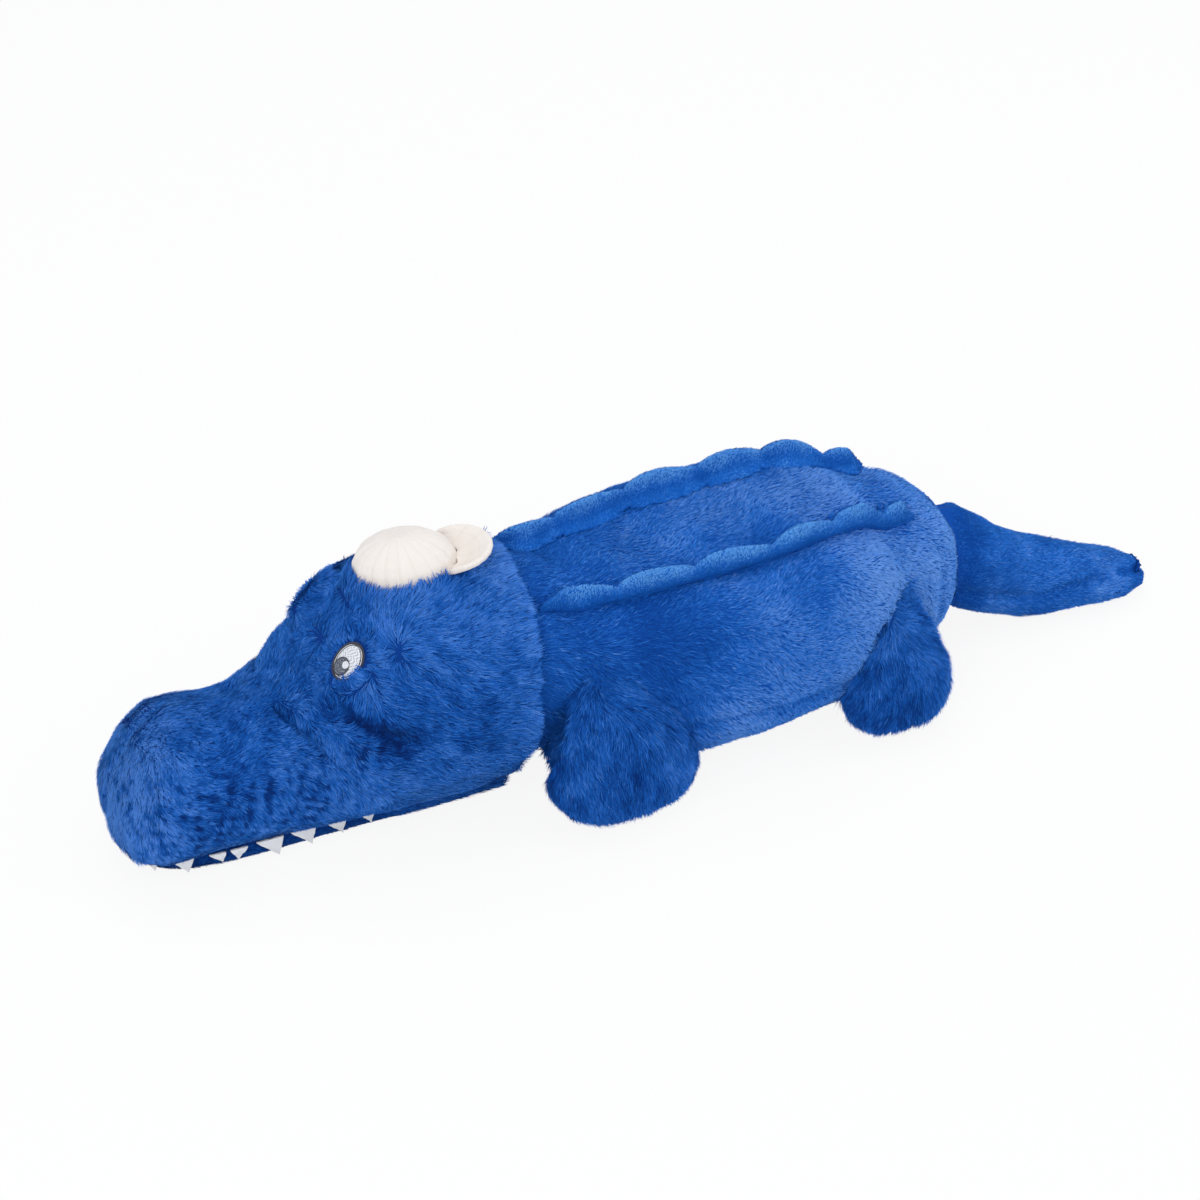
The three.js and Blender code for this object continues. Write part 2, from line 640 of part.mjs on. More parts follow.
const tailSocket = rumpSocket();
const tailOuter = tailSolid(0, tailStationShares.at(-1), tailMesh)
  .subtract(tailSocket).intersect(aboveFloor).subtract(tailNotch);
const tailHollow = tailSolid(skinThickness, tailStuffingShare, tailLining);
const tailStuffing = tailSolid(skinThickness + seamGap, tailStuffingShare, tailLining).subtract(tailSocket);
const tailSkin = tailOuter.subtract(tailHollow);

// Legs: a stuffed lobe from inside the torso's side down to a paw
function legSolid(leg, side, inset, mesh) {
  const path = new THREE.SplineCurve(legPathShares.map(([out, up]) =>
    new THREE.Vector2(leg.reach * out, leg.height * up)));
  const rings = evenly(mesh.steps, 0, 1).map((t) => {
    const at = path.getPoint(t);
    const run = path.getTangent(t);
    const swell = along(evenly(legSwellShares.length - 1, 0, 1), legSwellShares, t);
    const wide = leg.pawHalfWidth * swell - inset;
    const deep = leg.pawHalfDepth * swell - inset;
    return around(mesh.facets).map((angle) => {
      const aside = power(Math.cos(angle), 2 / legRoundness);
      const above = power(Math.sin(angle), 2 / legRoundness);
      return new THREE.Vector3(
        leg.place + wide * aside,
        side * (at.x - run.y * deep * above),
        at.y + run.x * deep * above,
      );
    });
  });
  const end = path.getPoint(1);
  const run = path.getTangent(1);
  const bulge = leg.pawHalfDepth * legPoleShare - inset * legPoleShare;
  const pole = new THREE.Vector3(leg.place, side * (end.x + run.x * bulge), end.y + run.y * bulge);
  return loft(rings, onRing(rings[0]), pole);
}

// The space that the hood sweeps as the head turns, in the torso's frame, grown by a clearance
function headSweep(clearance) {
  const hood = headSolid(-clearance, headMesh).intersect(hoodFront.translate([clearance, 0, 0]));
  return evenly(sweepSteps, 0, headNod).flatMap((nod) => evenly(sweepSteps, -headSwing, headSwing)
    .map((turn) => hood.rotate([0, nod, 0]).rotate([0, 0, turn]).translate(neckPivot.toArray())));
}

const below = (height) => block([-far, -far, -far], [far, far, height]);
const shellSweep = headSweep(hoodClearance);
const liningSweep = headSweep(hoodClearance + skinThickness);

function legParts(leg, side) {
  const shell = legSolid(leg, side, 0, legMesh);
  shell.computeBoundingBox();
  const settle = -restingFlat - shell.boundingBox.min.z;
  const settled = (geometry) => solid(geometry.translate(0, 0, settle)).intersect(aboveFloor);
  const clearOf = (body, others) => others.reduce((kept, other) => kept.subtract(other), body);
  // The leg is sewn to the torso round an opening at its top, and closed by its own skin below that
  const inside = (inset) => clearOf(settled(legSolid(leg, side, inset, legLining)), liningSweep)
    .subtract(torsoSolid(-inset, torsoLining).intersect(below(leg.shoulder - legOpening)))
    .intersect(below(leg.shoulder - inset));
  return {
    skin: clearOf(settled(shell), [torsoRoom, ...shellSweep]).intersect(below(leg.shoulder))
      .subtract(inside(skinThickness)),
    stuffing: inside(skinThickness + seamGap).subtract(torsoRoom),
  };
}

const frontLeg = {
  place: frontLegPlace,
  reach: frontLegReach,
  height: frontLegHeight,
  pawHalfWidth: frontPawHalfWidth,
  pawHalfDepth: frontPawHalfDepth,
  shoulder: frontShoulderHeight,
};
const hindLeg = {
  place: hindLegPlace,
  reach: hindLegReach,
  height: hindLegHeight,
  pawHalfWidth: hindPawHalfWidth,
  pawHalfDepth: hindPawHalfDepth,
  shoulder: hindShoulderHeight,
};

// Materials
const cloth = (color, roughness) => new THREE.MeshStandardMaterial({ color, roughness, metalness: 0 });
const longPile = () => cloth('#1d5ab0', 0.95);
const shortPile = () => cloth('#2f6bbd', 0.9);
const satinPile = () => cloth('#3f7fc8', 0.75);
const fibre = () => cloth('#f1f1ee', 1);
const creamCotton = () => cloth('#f5f1ec', 0.9);
const whiteFelt = () => cloth('#e6e9ee', 0.95);
const blackThread = () => cloth('#14161c', 0.6);
const paleThread = () => cloth('#c9d1e1', 0.6);
const greyThread = () => cloth('#4a5160', 0.6);

function piece(group, name, body, material) {
  const { vertProperties, triVerts } = body.getMesh();
  const geometry = new THREE.BufferGeometry();
  geometry.setAttribute('position', new THREE.Float32BufferAttribute(vertProperties, 3));
  geometry.setIndex(Array.from(triVerts));
  geometry.computeVertexNormals();
  const mesh = new THREE.Mesh(geometry, material);
  mesh.name = name;
  group.add(mesh);
}

const crocodile = new THREE.Group();
const head = new THREE.Group();
head.position.copy(neckPivot);
head.rotation.z = deg(headTurn);
const tail = new THREE.Group();
tail.position.copy(tailPivot);
tail.rotation.z = deg(tailTurn);
crocodile.add(head, tail);

piece(crocodile, 'back_panel', torsoSkin.intersect(backZone(0)), shortPile());
piece(crocodile, 'belly_panel', torsoSkin.intersect(bellyZone(0)), shortPile());
piece(crocodile, 'torso_stuffing', torsoStuffing, fibre());
piece(crocodile, 'neck_stuffing', neckStuffing, fibre());
piece(head, 'chin_panel', chinSolid().intersect(hoodFront).intersect(block(
  [-2 * far, -far, headFloor], [far, far, far])).subtract(headHollow), shortPile());
piece(head, 'head_stuffing', headStuffing, fibre());

const brim = capBrim();
const capRoom = capCrown(seamGap).add(headRoom);
piece(head, 'cap_crown', capCrown(0).subtract(headRoom), creamCotton());
piece(head, 'cap_brim', brim.subtract(capRoom), creamCotton());
piece(head, 'cap_hem', capHem().subtract(brim).subtract(capRoom), creamCotton());

for (const [sideName, side] of [['left', -1], ['right', 1]]) {
  piece(crocodile, `side_panel_${sideName}`, sidePanel(side), shortPile());
  piece(crocodile, `back_ridge_${sideName}`, ridge(side), satinPile());
  piece(head, `head_panel_${sideName}`, headPanel(side), longPile());
  const { outline, white, pupil } = eye(side);
  piece(head, `eye_outline_${sideName}`, outline, blackThread());
  piece(head, `eye_white_${sideName}`, white, paleThread());
  piece(head, `eye_pupil_${sideName}`, pupil, greyThread());
  toothPlaceShares.forEach((_, i) => {
    piece(head, `tooth_${sideName}_${i + 1}`, tooth(i, side), whiteFelt());
  });
  for (const [legName, leg] of [['front', frontLeg], ['hind', hindLeg]]) {
    const { skin, stuffing } = legParts(leg, side);
    piece(crocodile, `${legName}_leg_skin_${sideName}`, skin, longPile());
    piece(crocodile, `${legName}_leg_stuffing_${sideName}`, stuffing, fibre());
  }
}

piece(tail, 'tail_top_panel', tailSkin.intersect(aboveTailSeam(seamGap / 2)), shortPile());
piece(tail, 'tail_underside_panel', tailSkin.subtract(aboveTailSeam(-seamGap / 2)), shortPile());
piece(tail, 'tail_stuffing', tailStuffing, fibre());

export default crocodile;
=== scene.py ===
"""Looks of a plush crocodile: stuffed forms, pile, back ridges, embroidered eyes, felt teeth,
a cotton cap and the studio. Sizes are metres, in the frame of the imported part."""
import itertools
import math
from collections import namedtuple

import bpy
import numpy as np
from bpy.props import FloatProperty, FloatVectorProperty, IntProperty, PointerProperty
from mathutils import Matrix, Vector
from mathutils.bvhtree import BVHTree


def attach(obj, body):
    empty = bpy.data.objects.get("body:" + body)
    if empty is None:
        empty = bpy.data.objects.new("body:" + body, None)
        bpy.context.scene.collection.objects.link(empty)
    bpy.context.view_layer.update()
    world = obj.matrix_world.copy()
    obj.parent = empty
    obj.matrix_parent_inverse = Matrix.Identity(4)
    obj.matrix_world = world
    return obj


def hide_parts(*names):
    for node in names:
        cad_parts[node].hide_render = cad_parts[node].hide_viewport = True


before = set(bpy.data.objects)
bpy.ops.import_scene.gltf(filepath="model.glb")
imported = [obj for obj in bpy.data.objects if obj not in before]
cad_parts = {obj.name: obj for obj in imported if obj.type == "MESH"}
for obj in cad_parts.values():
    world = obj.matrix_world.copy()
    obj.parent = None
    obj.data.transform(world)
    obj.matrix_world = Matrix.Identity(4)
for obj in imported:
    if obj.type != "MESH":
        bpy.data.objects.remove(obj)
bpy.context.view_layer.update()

bl_info = {
    "name": "Plush crocodile",
    "version": (1, 0, 0),
    "blender": (4, 5, 0),
    "location": "View3D > Sidebar > Crocodile",
    "description": "Stuffed forms, pile, ridges, eyes, teeth, cap and studio of a plush crocodile",
    "category": "Object",
}

MM = 0.001
SIDES = {"left": -1, "right": 1}
HEAD_PIVOT = Vector((-0.155, 0, 0))
HEAD_TURN = math.radians(-5)
TAIL_PIVOT = Vector((0.133, 0, 0))
TAIL_TURN = math.radians(-11)
HEAD_PLACE = Matrix.Translation(HEAD_PIVOT) @ Matrix.Rotation(HEAD_TURN, 4, "Z")
TAIL_PLACE = Matrix.Translation(TAIL_PIVOT) @ Matrix.Rotation(TAIL_TURN, 4, "Z")
CAP_MIDDLE = Vector((-0.066, -0.001, 0.1808))
CAP_HALVES = Vector((0.035, 0.025, 0.0215))
CAP_LEAN = (-0.0035, 0.004)
CAP_RIBS = 20
EYE_HALVES = (0.0105, 0.0135)
EYE_SINK = 0.0022  # how deep the eyes lie among the pile
RIDGE_START, RIDGE_RUN = -0.155, 0.288
RIDGE_LOBES = [RIDGE_START + RIDGE_RUN * share for share in (0.025, 0.215, 0.41, 0.61, 0.78, 0.94, 1.04)]
BACK_HALF = 0.049  # half the width of the back's piece of pile
SNOUT_START = 0.168  # how far forward the snout's piece of pile starts
HOOD_MIDDLE = (-0.155, 0, 0.09)
HOOD_REACH = 0.0745  # no pile grows nearer to the middle of the hood, inside it
TEETH = range(1, 10)
ROOT_DEPTH = 0.0006  # tufts start under their skin
TIP_HEIGHT = 0.0004  # the least height of a tuft's tip over the floor
VIEW_MIDDLE = Vector((-0.0660, 0.0296, 0.0819))


# Sizes and colours that a user would change

def colour(name, value, text):
    return FloatVectorProperty(
        name=name, description=text, default=value, size=3, min=0, max=1, subtype="COLOR")


def length(name, value, text):
    return FloatProperty(name=name, description=text, default=value, min=0, unit="LENGTH")


def share(name, value, text):
    return FloatProperty(name=name, description=text, default=value, min=0, soft_max=1)


class PlushColours(bpy.types.PropertyGroup):
    # Painted shade: deep is the shade among the roots of the long pile; the dark and light tones also
    # carry painted shade and painted light
    deep: colour("Deep pile", (0.002, 0.018, 0.13), "Roots of the pile, seen where it parts")
    long_dark: colour("Long pile, dark", (0.002, 0.055, 0.32), "Shaded tufts of the long pile")
    long_mid: colour("Long pile", (0.012, 0.150, 0.63), "Usual tufts of the long pile")
    long_light: colour("Long pile, light", (0.12, 0.34, 0.92), "Light tips of the long pile")
    # Painted shade and painted sheen: short deep is the shade among the roots, and the dark and light
    # tones are how light falls on short pile brushed one way and the other
    short_deep: colour("Deep short pile", (0.004, 0.06, 0.34), "Roots of the short pile")
    short_dark: colour("Short pile, dark", (0.004, 0.085, 0.44), "Short pile brushed one way")
    short_mid: colour("Short pile", (0.022, 0.19, 0.72), "Usual short pile")
    short_light: colour("Short pile, light", (0.20, 0.44, 0.97), "Short pile brushed the other way")
    # Painted shade in the ridges' folds and painted highlight on their crests
    satin_shade: colour("Ridge pile, dark", (0.006, 0.12, 0.52), "Ridges, in their folds")
    satin_highlight: colour("Ridge pile, light", (0.14, 0.44, 0.93), "Ridges, on their crests")
    cream: colour("Cotton", (0.905, 0.86, 0.83), "The cap's ribbed cotton")
    felt: colour("Felt", (0.94, 0.95, 0.97), "The teeth")
    black: colour("Black thread", (0.012, 0.014, 0.030), "The eyes' outline")
    pale: colour("Pale thread", (0.88, 0.91, 0.97), "The eyes' white")
    grey: colour("Grey thread", (0.09, 0.11, 0.16), "The pupils")


class PileSizes(bpy.types.PropertyGroup):
    head: length("Head pile", 0.0072, "Length of the pile on the head")
    leg: length("Leg pile", 0.0085, "Length of the pile on the legs")
    front: length("Shoulder pile", 0.0080, "Length of the pile on the front of the torso")
    torso: length("Torso pile", 0.0044, "Length of the pile on the rest of the torso")
    tail: length("Tail pile", 0.0046, "Length of the pile on the tail")
    ridge: length("Ridge pile", 0.0020, "Length of the pile on the ridges")
    chin: length("Chin pile", 0.0026, "Length of the pile on the chin")
    tuft: length("Tuft width", 0.00050, "Width of one tuft of the long pile")
    hair: length("Short tuft width", 0.00050, "Width of one tuft of the short pile")
    tufts: IntProperty(
        name="Tufts", description="Tufts in each full piece of pile", default=52500, min=100)


class Studio(bpy.types.PropertyGroup):
    distance: length("Camera distance", 2.4, "From the camera to the point that it looks at")
    azimuth: FloatProperty(
        name="Azimuth", description="Way round of the camera", default=-0.49218, unit="ROTATION")
    elevation: FloatProperty(
        name="Elevation", description="Height of the camera", default=0.63705, unit="ROTATION")
    lens: FloatProperty(name="Lens", description="Focal length in millimetres", default=105.88)
    key: FloatProperty(name="Key light", description="Watts", default=22.0, min=0)
    fill: FloatProperty(name="Fill light", description="Watts", default=12.0, min=0)
    top: FloatProperty(name="Top light", description="Watts", default=15.0, min=0)
    sky: share("Sky", 0.54, "Strength of the light from all round")


# Materials

class Wire:
    """A socket that takes part in sums."""

    def __init__(self, tree, socket):
        self.tree = tree
        self.socket = socket

    def sum(self, operation, first, second):
        node = self.tree.nodes.new("ShaderNodeMath")
        node.operation = operation
        for socket, value in zip(node.inputs, (first, second)):
            join(self.tree, socket, value)
        return Wire(self.tree, node.outputs[0])

    def __add__(self, other):
        return self.sum("ADD", self, other)

    def __sub__(self, other):
        return self.sum("SUBTRACT", self, other)

    def __rsub__(self, other):
        return self.sum("SUBTRACT", other, self)

    def __mul__(self, other):
        return self.sum("MULTIPLY", self, other)

    def __pow__(self, other):
        return self.sum("POWER", self, other)


def join(tree, socket, value):
    if isinstance(value, Wire):
        tree.links.new(value.socket, socket)
    else:
        socket.default_value = value


class Finish:
    """The nodes of one material, with its shader's steady values set as they are named."""

    def __init__(self, name, **steady):
        self.material = bpy.data.materials.new(name)
        self.material.use_nodes = True
        self.tree = self.material.node_tree
        self.shader = self.tree.nodes["Principled BSDF"]
        for socket, value in steady.items():
            self.shader.inputs[socket.replace("_", " ")].default_value = value

    def node(self, kind, settings=None, output=0, **sockets):
        """A node's output; a socket is named in words, or in_N for its place."""
        node = self.tree.nodes.new("ShaderNode" + kind)
        for name, value in (settings or {}).items():
            if name == "stops":
                ramp = node.color_ramp
                while len(ramp.elements) < len(value):
                    ramp.elements.new(0.5)
                for element, (place, tint) in zip(ramp.elements, value):
                    element.position = place
                    element.color = (*tint, 1)
            else:
                setattr(node, name, value)
        for name, value in sockets.items():
            key = int(name[3:]) if name.startswith("in_") else name.replace("_", " ")
            join(self.tree, node.inputs[key], value)
        return Wire(self.tree, node.outputs[output])

    def place(self):
        return self.node("TexCoord", output="Object")

    def noise(self, scale, detail=2.0, output=0, vector=None):
        return self.node("TexNoise", output=output, Vector=vector or self.place(),
                         Scale=scale, Detail=detail)

    def ramp(self, value, *stops):
        return self.node("ValToRGB", {"stops": stops}, Fac=value)

    def mix(self, factor, first, second):
        return self.node("Mix", {"data_type": "RGBA"}, output=2, in_0=factor, in_6=first, in_7=second)

    def bump(self, height, strength, distance):
        return self.node("Bump", Strength=strength, Distance=distance, Height=height)

    def feed(self, **sockets):
        for name, value in sockets.items():
            join(self.tree, self.shader.inputs[name.replace("_", " ")], value)
        return self.material


def rgba(tint):
    return (*tint, 1)


def pile_finish(name, dark, mid, light, deep, sheen):
    """Pile in painted shade toward its roots; U of its map is the shade of a tuft, which holds its
    painted light and shade, V runs to its tip.
    """
    finish = Finish(name, Roughness=0.75, Sheen_Weight=sheen, Sheen_Roughness=0.5,
                    Specular_IOR_Level=0.06, Sheen_Tint=rgba((0.05, 0.38, 1.0)))
    spot = finish.node("UVMap", {"uv_map": "OFBake"})
    across = finish.node("SeparateXYZ", output=0, Vector=spot)
    root_to_tip = finish.node("SeparateXYZ", output=1, Vector=spot)
    tuft = finish.ramp(across, (0.0, deep), (0.28, dark), (0.55, mid), (1.0, light))
    # painted shade, darkest at the roots of the tufts
    depth = (1 - root_to_tip) ** 1.6 * 0.70
    return finish.feed(Base_Color=finish.mix(depth, tuft, rgba(deep)))


def skin_finish(name, mid, deep):
    """Knitted backing and the foot of the pile, coloured in the painted shade under the pile, mottled
    where it is brushed both ways.
    """
    finish = Finish(name, Roughness=0.9, Specular_IOR_Level=0.1)
    broad = finish.noise(38.0, 3.0)
    fine = finish.noise(900.0, 2.0)
    tint = finish.mix(broad * 0.6 + fine * 0.4, rgba(deep), rgba(mid))
    return finish.feed(Base_Color=tint, Normal=finish.bump(fine, 0.5, 0.0008))


def cotton_finish(name, tint):
    """Ribbed cotton: fine cords, and a few grooves that run up the cap to the middle of its top, warmer
    and darker with painted shade; painted shade also darkens the cap's low parts.
    """
    finish = Finish(name, Roughness=0.9, Specular_IOR_Level=0.15, Sheen_Weight=0.15, Sheen_Roughness=0.6)
    spot = finish.node("Mapping", {"vector_type": "TEXTURE"}, Vector=finish.place(),
                       Location=HEAD_PLACE @ CAP_MIDDLE, Rotation=(0, 0, HEAD_TURN), Scale=CAP_HALVES)
    x, y, z = (finish.node("SeparateXYZ", output=axis, Vector=spot) for axis in range(3))
    lean_x, lean_y = (lean / half for lean, half in zip(CAP_LEAN, CAP_HALVES))
    turn = spot.sum("ARCTAN2", y - z * lean_y, x - z * lean_x)
    grooves = finish.node("Math", {"operation": "COSINE"}, in_0=turn * float(CAP_RIBS)) * 0.5 + 0.5
    cords = finish.node("Math", {"operation": "COSINE"}, in_0=turn * float(CAP_RIBS * 6)) * 0.5 + 0.5
    speckle = finish.noise(1400.0, 2.0)
    shade = tuple(value * factor for value, factor in zip(tint, (0.90, 0.87, 0.83)))
    groove = tuple(value * factor for value, factor in zip(tint, (0.80, 0.74, 0.67)))
    uneven = cords * 0.35 + speckle * 0.35 + finish.noise(60.0, 3.0) * 0.3
    plain = finish.mix(uneven, rgba(shade), rgba(tint))
    # painted shade in the grooves
    lines = grooves ** 14.0
    # painted shade in the low parts: the foot of the crown and the hollow of the brim
    low = finish.node("Math", {"operation": "MULTIPLY", "use_clamp": True}, in_0=0.42 - z, in_1=1.1)
    colour_of = finish.mix(low, finish.mix(lines * 0.24, plain, rgba(groove)), rgba(groove))
    return finish.feed(Base_Color=colour_of,
                       Normal=finish.bump(cords * 0.6 + speckle * 0.5 - lines * 0.8, 0.4, 0.0003))


def felt_finish(name, tint):
    """Pressed felt: short fibres every way, and a soft mottle."""
    finish = Finish(name, Roughness=0.95, Specular_IOR_Level=0.1, Sheen_Weight=0.3, Sheen_Roughness=0.6)
    fibres = finish.noise(1800.0, 4.0)
    mottle = finish.noise(220.0, 2.0)
    shade = tuple(value * 0.92 for value in tint)
    colour_of = finish.mix(fibres * 0.5 + mottle * 0.5, rgba(shade), rgba(tint))
    return finish.feed(Base_Color=colour_of, Normal=finish.bump(fibres, 0.6, 0.0004))


def thread_finish(name, tint):
    """Embroidery thread, a little shiny, uneven along each stitch."""
    finish = Finish(name, Roughness=0.45, Specular_IOR_Level=0.4, Sheen_Weight=0.2)
    streak = finish.noise(1500.0, 2.0)
    shade = tuple(value * 0.78 for value in tint)
    return finish.feed(Base_Color=finish.mix(streak, rgba(shade), rgba(tint)))


FINISHES = {}


def finish_of(name):
    """A finish by its name, made the first time that it is asked for."""
    if name not in FINISHES:
        tints = bpy.context.scene.plush_colours
        FINISHES[name] = {
            "long_tufts": lambda: pile_finish(
                name, tints.long_dark, tints.long_mid, tints.long_light, tints.deep, 0.30),
            "short_tufts": lambda: pile_finish(
                name, tints.short_dark, tints.short_mid, tints.short_light, tints.short_deep, 0.35),
            "satin_tufts": lambda: pile_finish(
                name, tints.satin_shade, tints.short_mid, tints.satin_highlight, tints.short_deep, 0.4),
            "long_backing": lambda: skin_finish(name, tints.long_dark, tints.deep),
            "short_backing": lambda: skin_finish(name, tints.short_dark, tints.short_deep),
            "satin_backing": lambda: skin_finish(name, tints.satin_shade, tints.short_dark),
            "ribbed_cotton": lambda: cotton_finish(name, tints.cream),
            "pressed_felt": lambda: felt_finish(name, tints.felt),
            "black_stitches": lambda: thread_finish(name, tints.black),
            "pale_stitches": lambda: thread_finish(name, tints.pale),
            "grey_stitches": lambda: thread_finish(name, tints.grey),
            "fibre_fill": lambda: felt_finish(name, tints.felt),
        }[name]()
    return FINISHES[name]


# Noise and strands

class Ripples:
    """Smooth repeatable noise between about -1 and 1: waves in seeded directions."""

    def __init__(self, seed, wavelength, count=12):
        draw = np.random.default_rng(seed)
        axis = draw.normal(size=(count, 3))
        axis /= np.linalg.norm(axis, axis=1)[:, None]
        self.waves = axis * 2 * math.pi / (wavelength * draw.uniform(0.7, 1.5, (count, 1)))
        self.phase = draw.uniform(0, 2 * math.pi, count)

    def at(self, points):
        return np.sin(points @ self.waves.T + self.phase).sum(1) / math.sqrt(len(self.phase))


def unit(vectors):
    return vectors / np.maximum(np.linalg.norm(vectors, axis=-1), 1e-12)[..., None]


def dot(first, second):
    return (first * second).sum(-1)


def flat_on(vectors, normals):
    """Vectors laid down on the surface with these normals."""
    return unit(vectors - dot(vectors, normals)[:, None] * normals)


def smooth(values, start, end):
    """A soft step from 0 at the start to 1 at the end."""
    t = ((values - start) / (end - start)).clip(0, 1)
    return t * t * (3 - 2 * t)


def ways(x, y, z):
    """Vectors from three arrays or numbers."""
    return np.stack(np.broadcast_arrays(x, y, z), 1).astype(float)


def blots(points, table):
    """Soft patches: each has a middle, a spread and a strength."""
    return sum(strength * np.exp(-((points - np.array(middle)) ** 2).sum(1) / spread ** 2)
               for middle, spread, strength in table)


def tuft_centres(points, spacing, seed):
    """The nearest of a set of scattered centres, and how far off it is in spacings."""
    cell = np.floor(points / spacing)
    least = np.full(len(points), np.inf)
    centres = np.zeros_like(points)
    for step in itertools.product((-1, 0, 1), repeat=3):
        corner = cell + step
        parts = corner @ np.array([[127.1, 269.5, 419.2], [311.7, 183.3, 371.9], [74.7, 246.1, 124.6]])
        spot = (corner + np.modf(np.abs(np.sin(parts + seed)) * 43758.5453)[0]) * spacing
        gap = ((points - spot) ** 2).sum(1)
        closer = gap < least
        least[closer] = gap[closer]
        centres[closer] = spot[closer]
    return centres, np.sqrt(least) / spacing


def arrays_of(obj):
    """Places, normals and triangles of a mesh, as arrays."""
    mesh = obj.data
    mesh.calc_loop_triangles()
    places = np.empty(len(mesh.vertices) * 3)
    mesh.vertices.foreach_get("co", places)
    normals = np.empty(len(mesh.vertices) * 3)
    mesh.vertices.foreach_get("normal", normals)
    corners = np.empty(len(mesh.loop_triangles) * 3, np.int32)
    mesh.loop_triangles.foreach_get("vertices", corners)
    return places.reshape(-1, 3), normals.reshape(-1, 3), corners.reshape(-1, 3)


def toward_camera(studio):
    """The way from the point that the camera looks at to the camera."""
    around, over = studio.azimuth, studio.elevation
    level = math.cos(over)
    return Vector((math.sin(around) * level, -math.cos(around) * level, math.sin(over)))


def scatter(obj, count, seed, keep, facing):
    """Roots over the kept part of a surface, closer together where it faces the camera."""
    places, normals, corners = arrays_of(obj)
    a, b, c = (places[corners[:, k]] for k in range(3))
    area = np.linalg.norm(np.cross(b - a, c - a), axis=1)
    middle = (a + b + c) / 3
    outward = unit(normals[corners].sum(1))
    area = area * keep(middle, outward) * (0.5 + (outward @ facing).clip(0, 1))
    draw = np.random.default_rng(seed)
    chosen = draw.choice(len(corners), count, p=area / area.sum())
    u, v = draw.random((2, count))
    over = u + v > 1
    u[over] = 1 - u[over]
    v[over] = 1 - v[over]
    weights = np.stack([1 - u - v, u, v], 1)[:, :, None]
    return ((places[corners[chosen]] * weights).sum(1),
            unit((normals[corners[chosen]] * weights).sum(1)), draw)


def strand_mesh(name, root, bend, tip, across, normal, shade):
    """One mesh of tapered blades, each a quad and a triangle, shaded as round tufts."""
    count = len(root)
    points = np.stack([root - across, root + across, bend + across * 0.8, bend - across * 0.8, tip], 1)
    mesh = bpy.data.meshes.new(name)
    mesh.vertices.add(5 * count)
    mesh.vertices.foreach_set("co", points.astype(np.float32).ravel())
    mesh.loops.add(7 * count)
    order = (np.arange(count)[:, None] * 5 + np.array([0, 1, 2, 3, 3, 2, 4])).astype(np.int32)
    mesh.loops.foreach_set("vertex_index", order.ravel())
    mesh.polygons.add(2 * count)
    starts = (np.arange(count)[:, None] * 7 + np.array([0, 4])).astype(np.int32)
    mesh.polygons.foreach_set("loop_start", starts.ravel())
    mesh.update(calc_edges=True)
    layer = mesh.uv_layers.new(name="OFBake")
    spots = np.empty((count, 7, 2), np.float32)
    spots[:, :, 0] = shade[:, None]
    spots[:, :, 1] = np.array([0.02, 0.02, 0.5, 0.5, 0.5, 0.5, 0.98])
    layer.data.foreach_set("uv", spots.ravel())
    side = unit(across)
    lean = np.stack([-side, side, side, -side, np.zeros_like(side)], 1)
    round_normals = unit(normal[:, None, :] + 0.45 * lean)
    mesh.normals_split_custom_set_from_vertices(round_normals.reshape(-1, 3))
    obj = bpy.data.objects.new(name, mesh)
    bpy.context.scene.collection.objects.link(obj)
    return obj


# A kind of pile: its material slot and finish, the property with its width, the spacing of its
# locks, how far their tips draw together, and how it stands, from 0, flat, to 1, upright
Fur = namedtuple("Fur", "slot finish width clump pull rise")
LONG = Fur("long_pile", "long_tufts", "tuft", 0.0034, 0.42, 0.28)
SHORT = Fur("short_pile", "short_tufts", "hair", 0.0030, 0.25, 0.30)
SATIN = Fur("satin_pile", "satin_tufts", "hair", 0.0020, 0.30, 0.25)


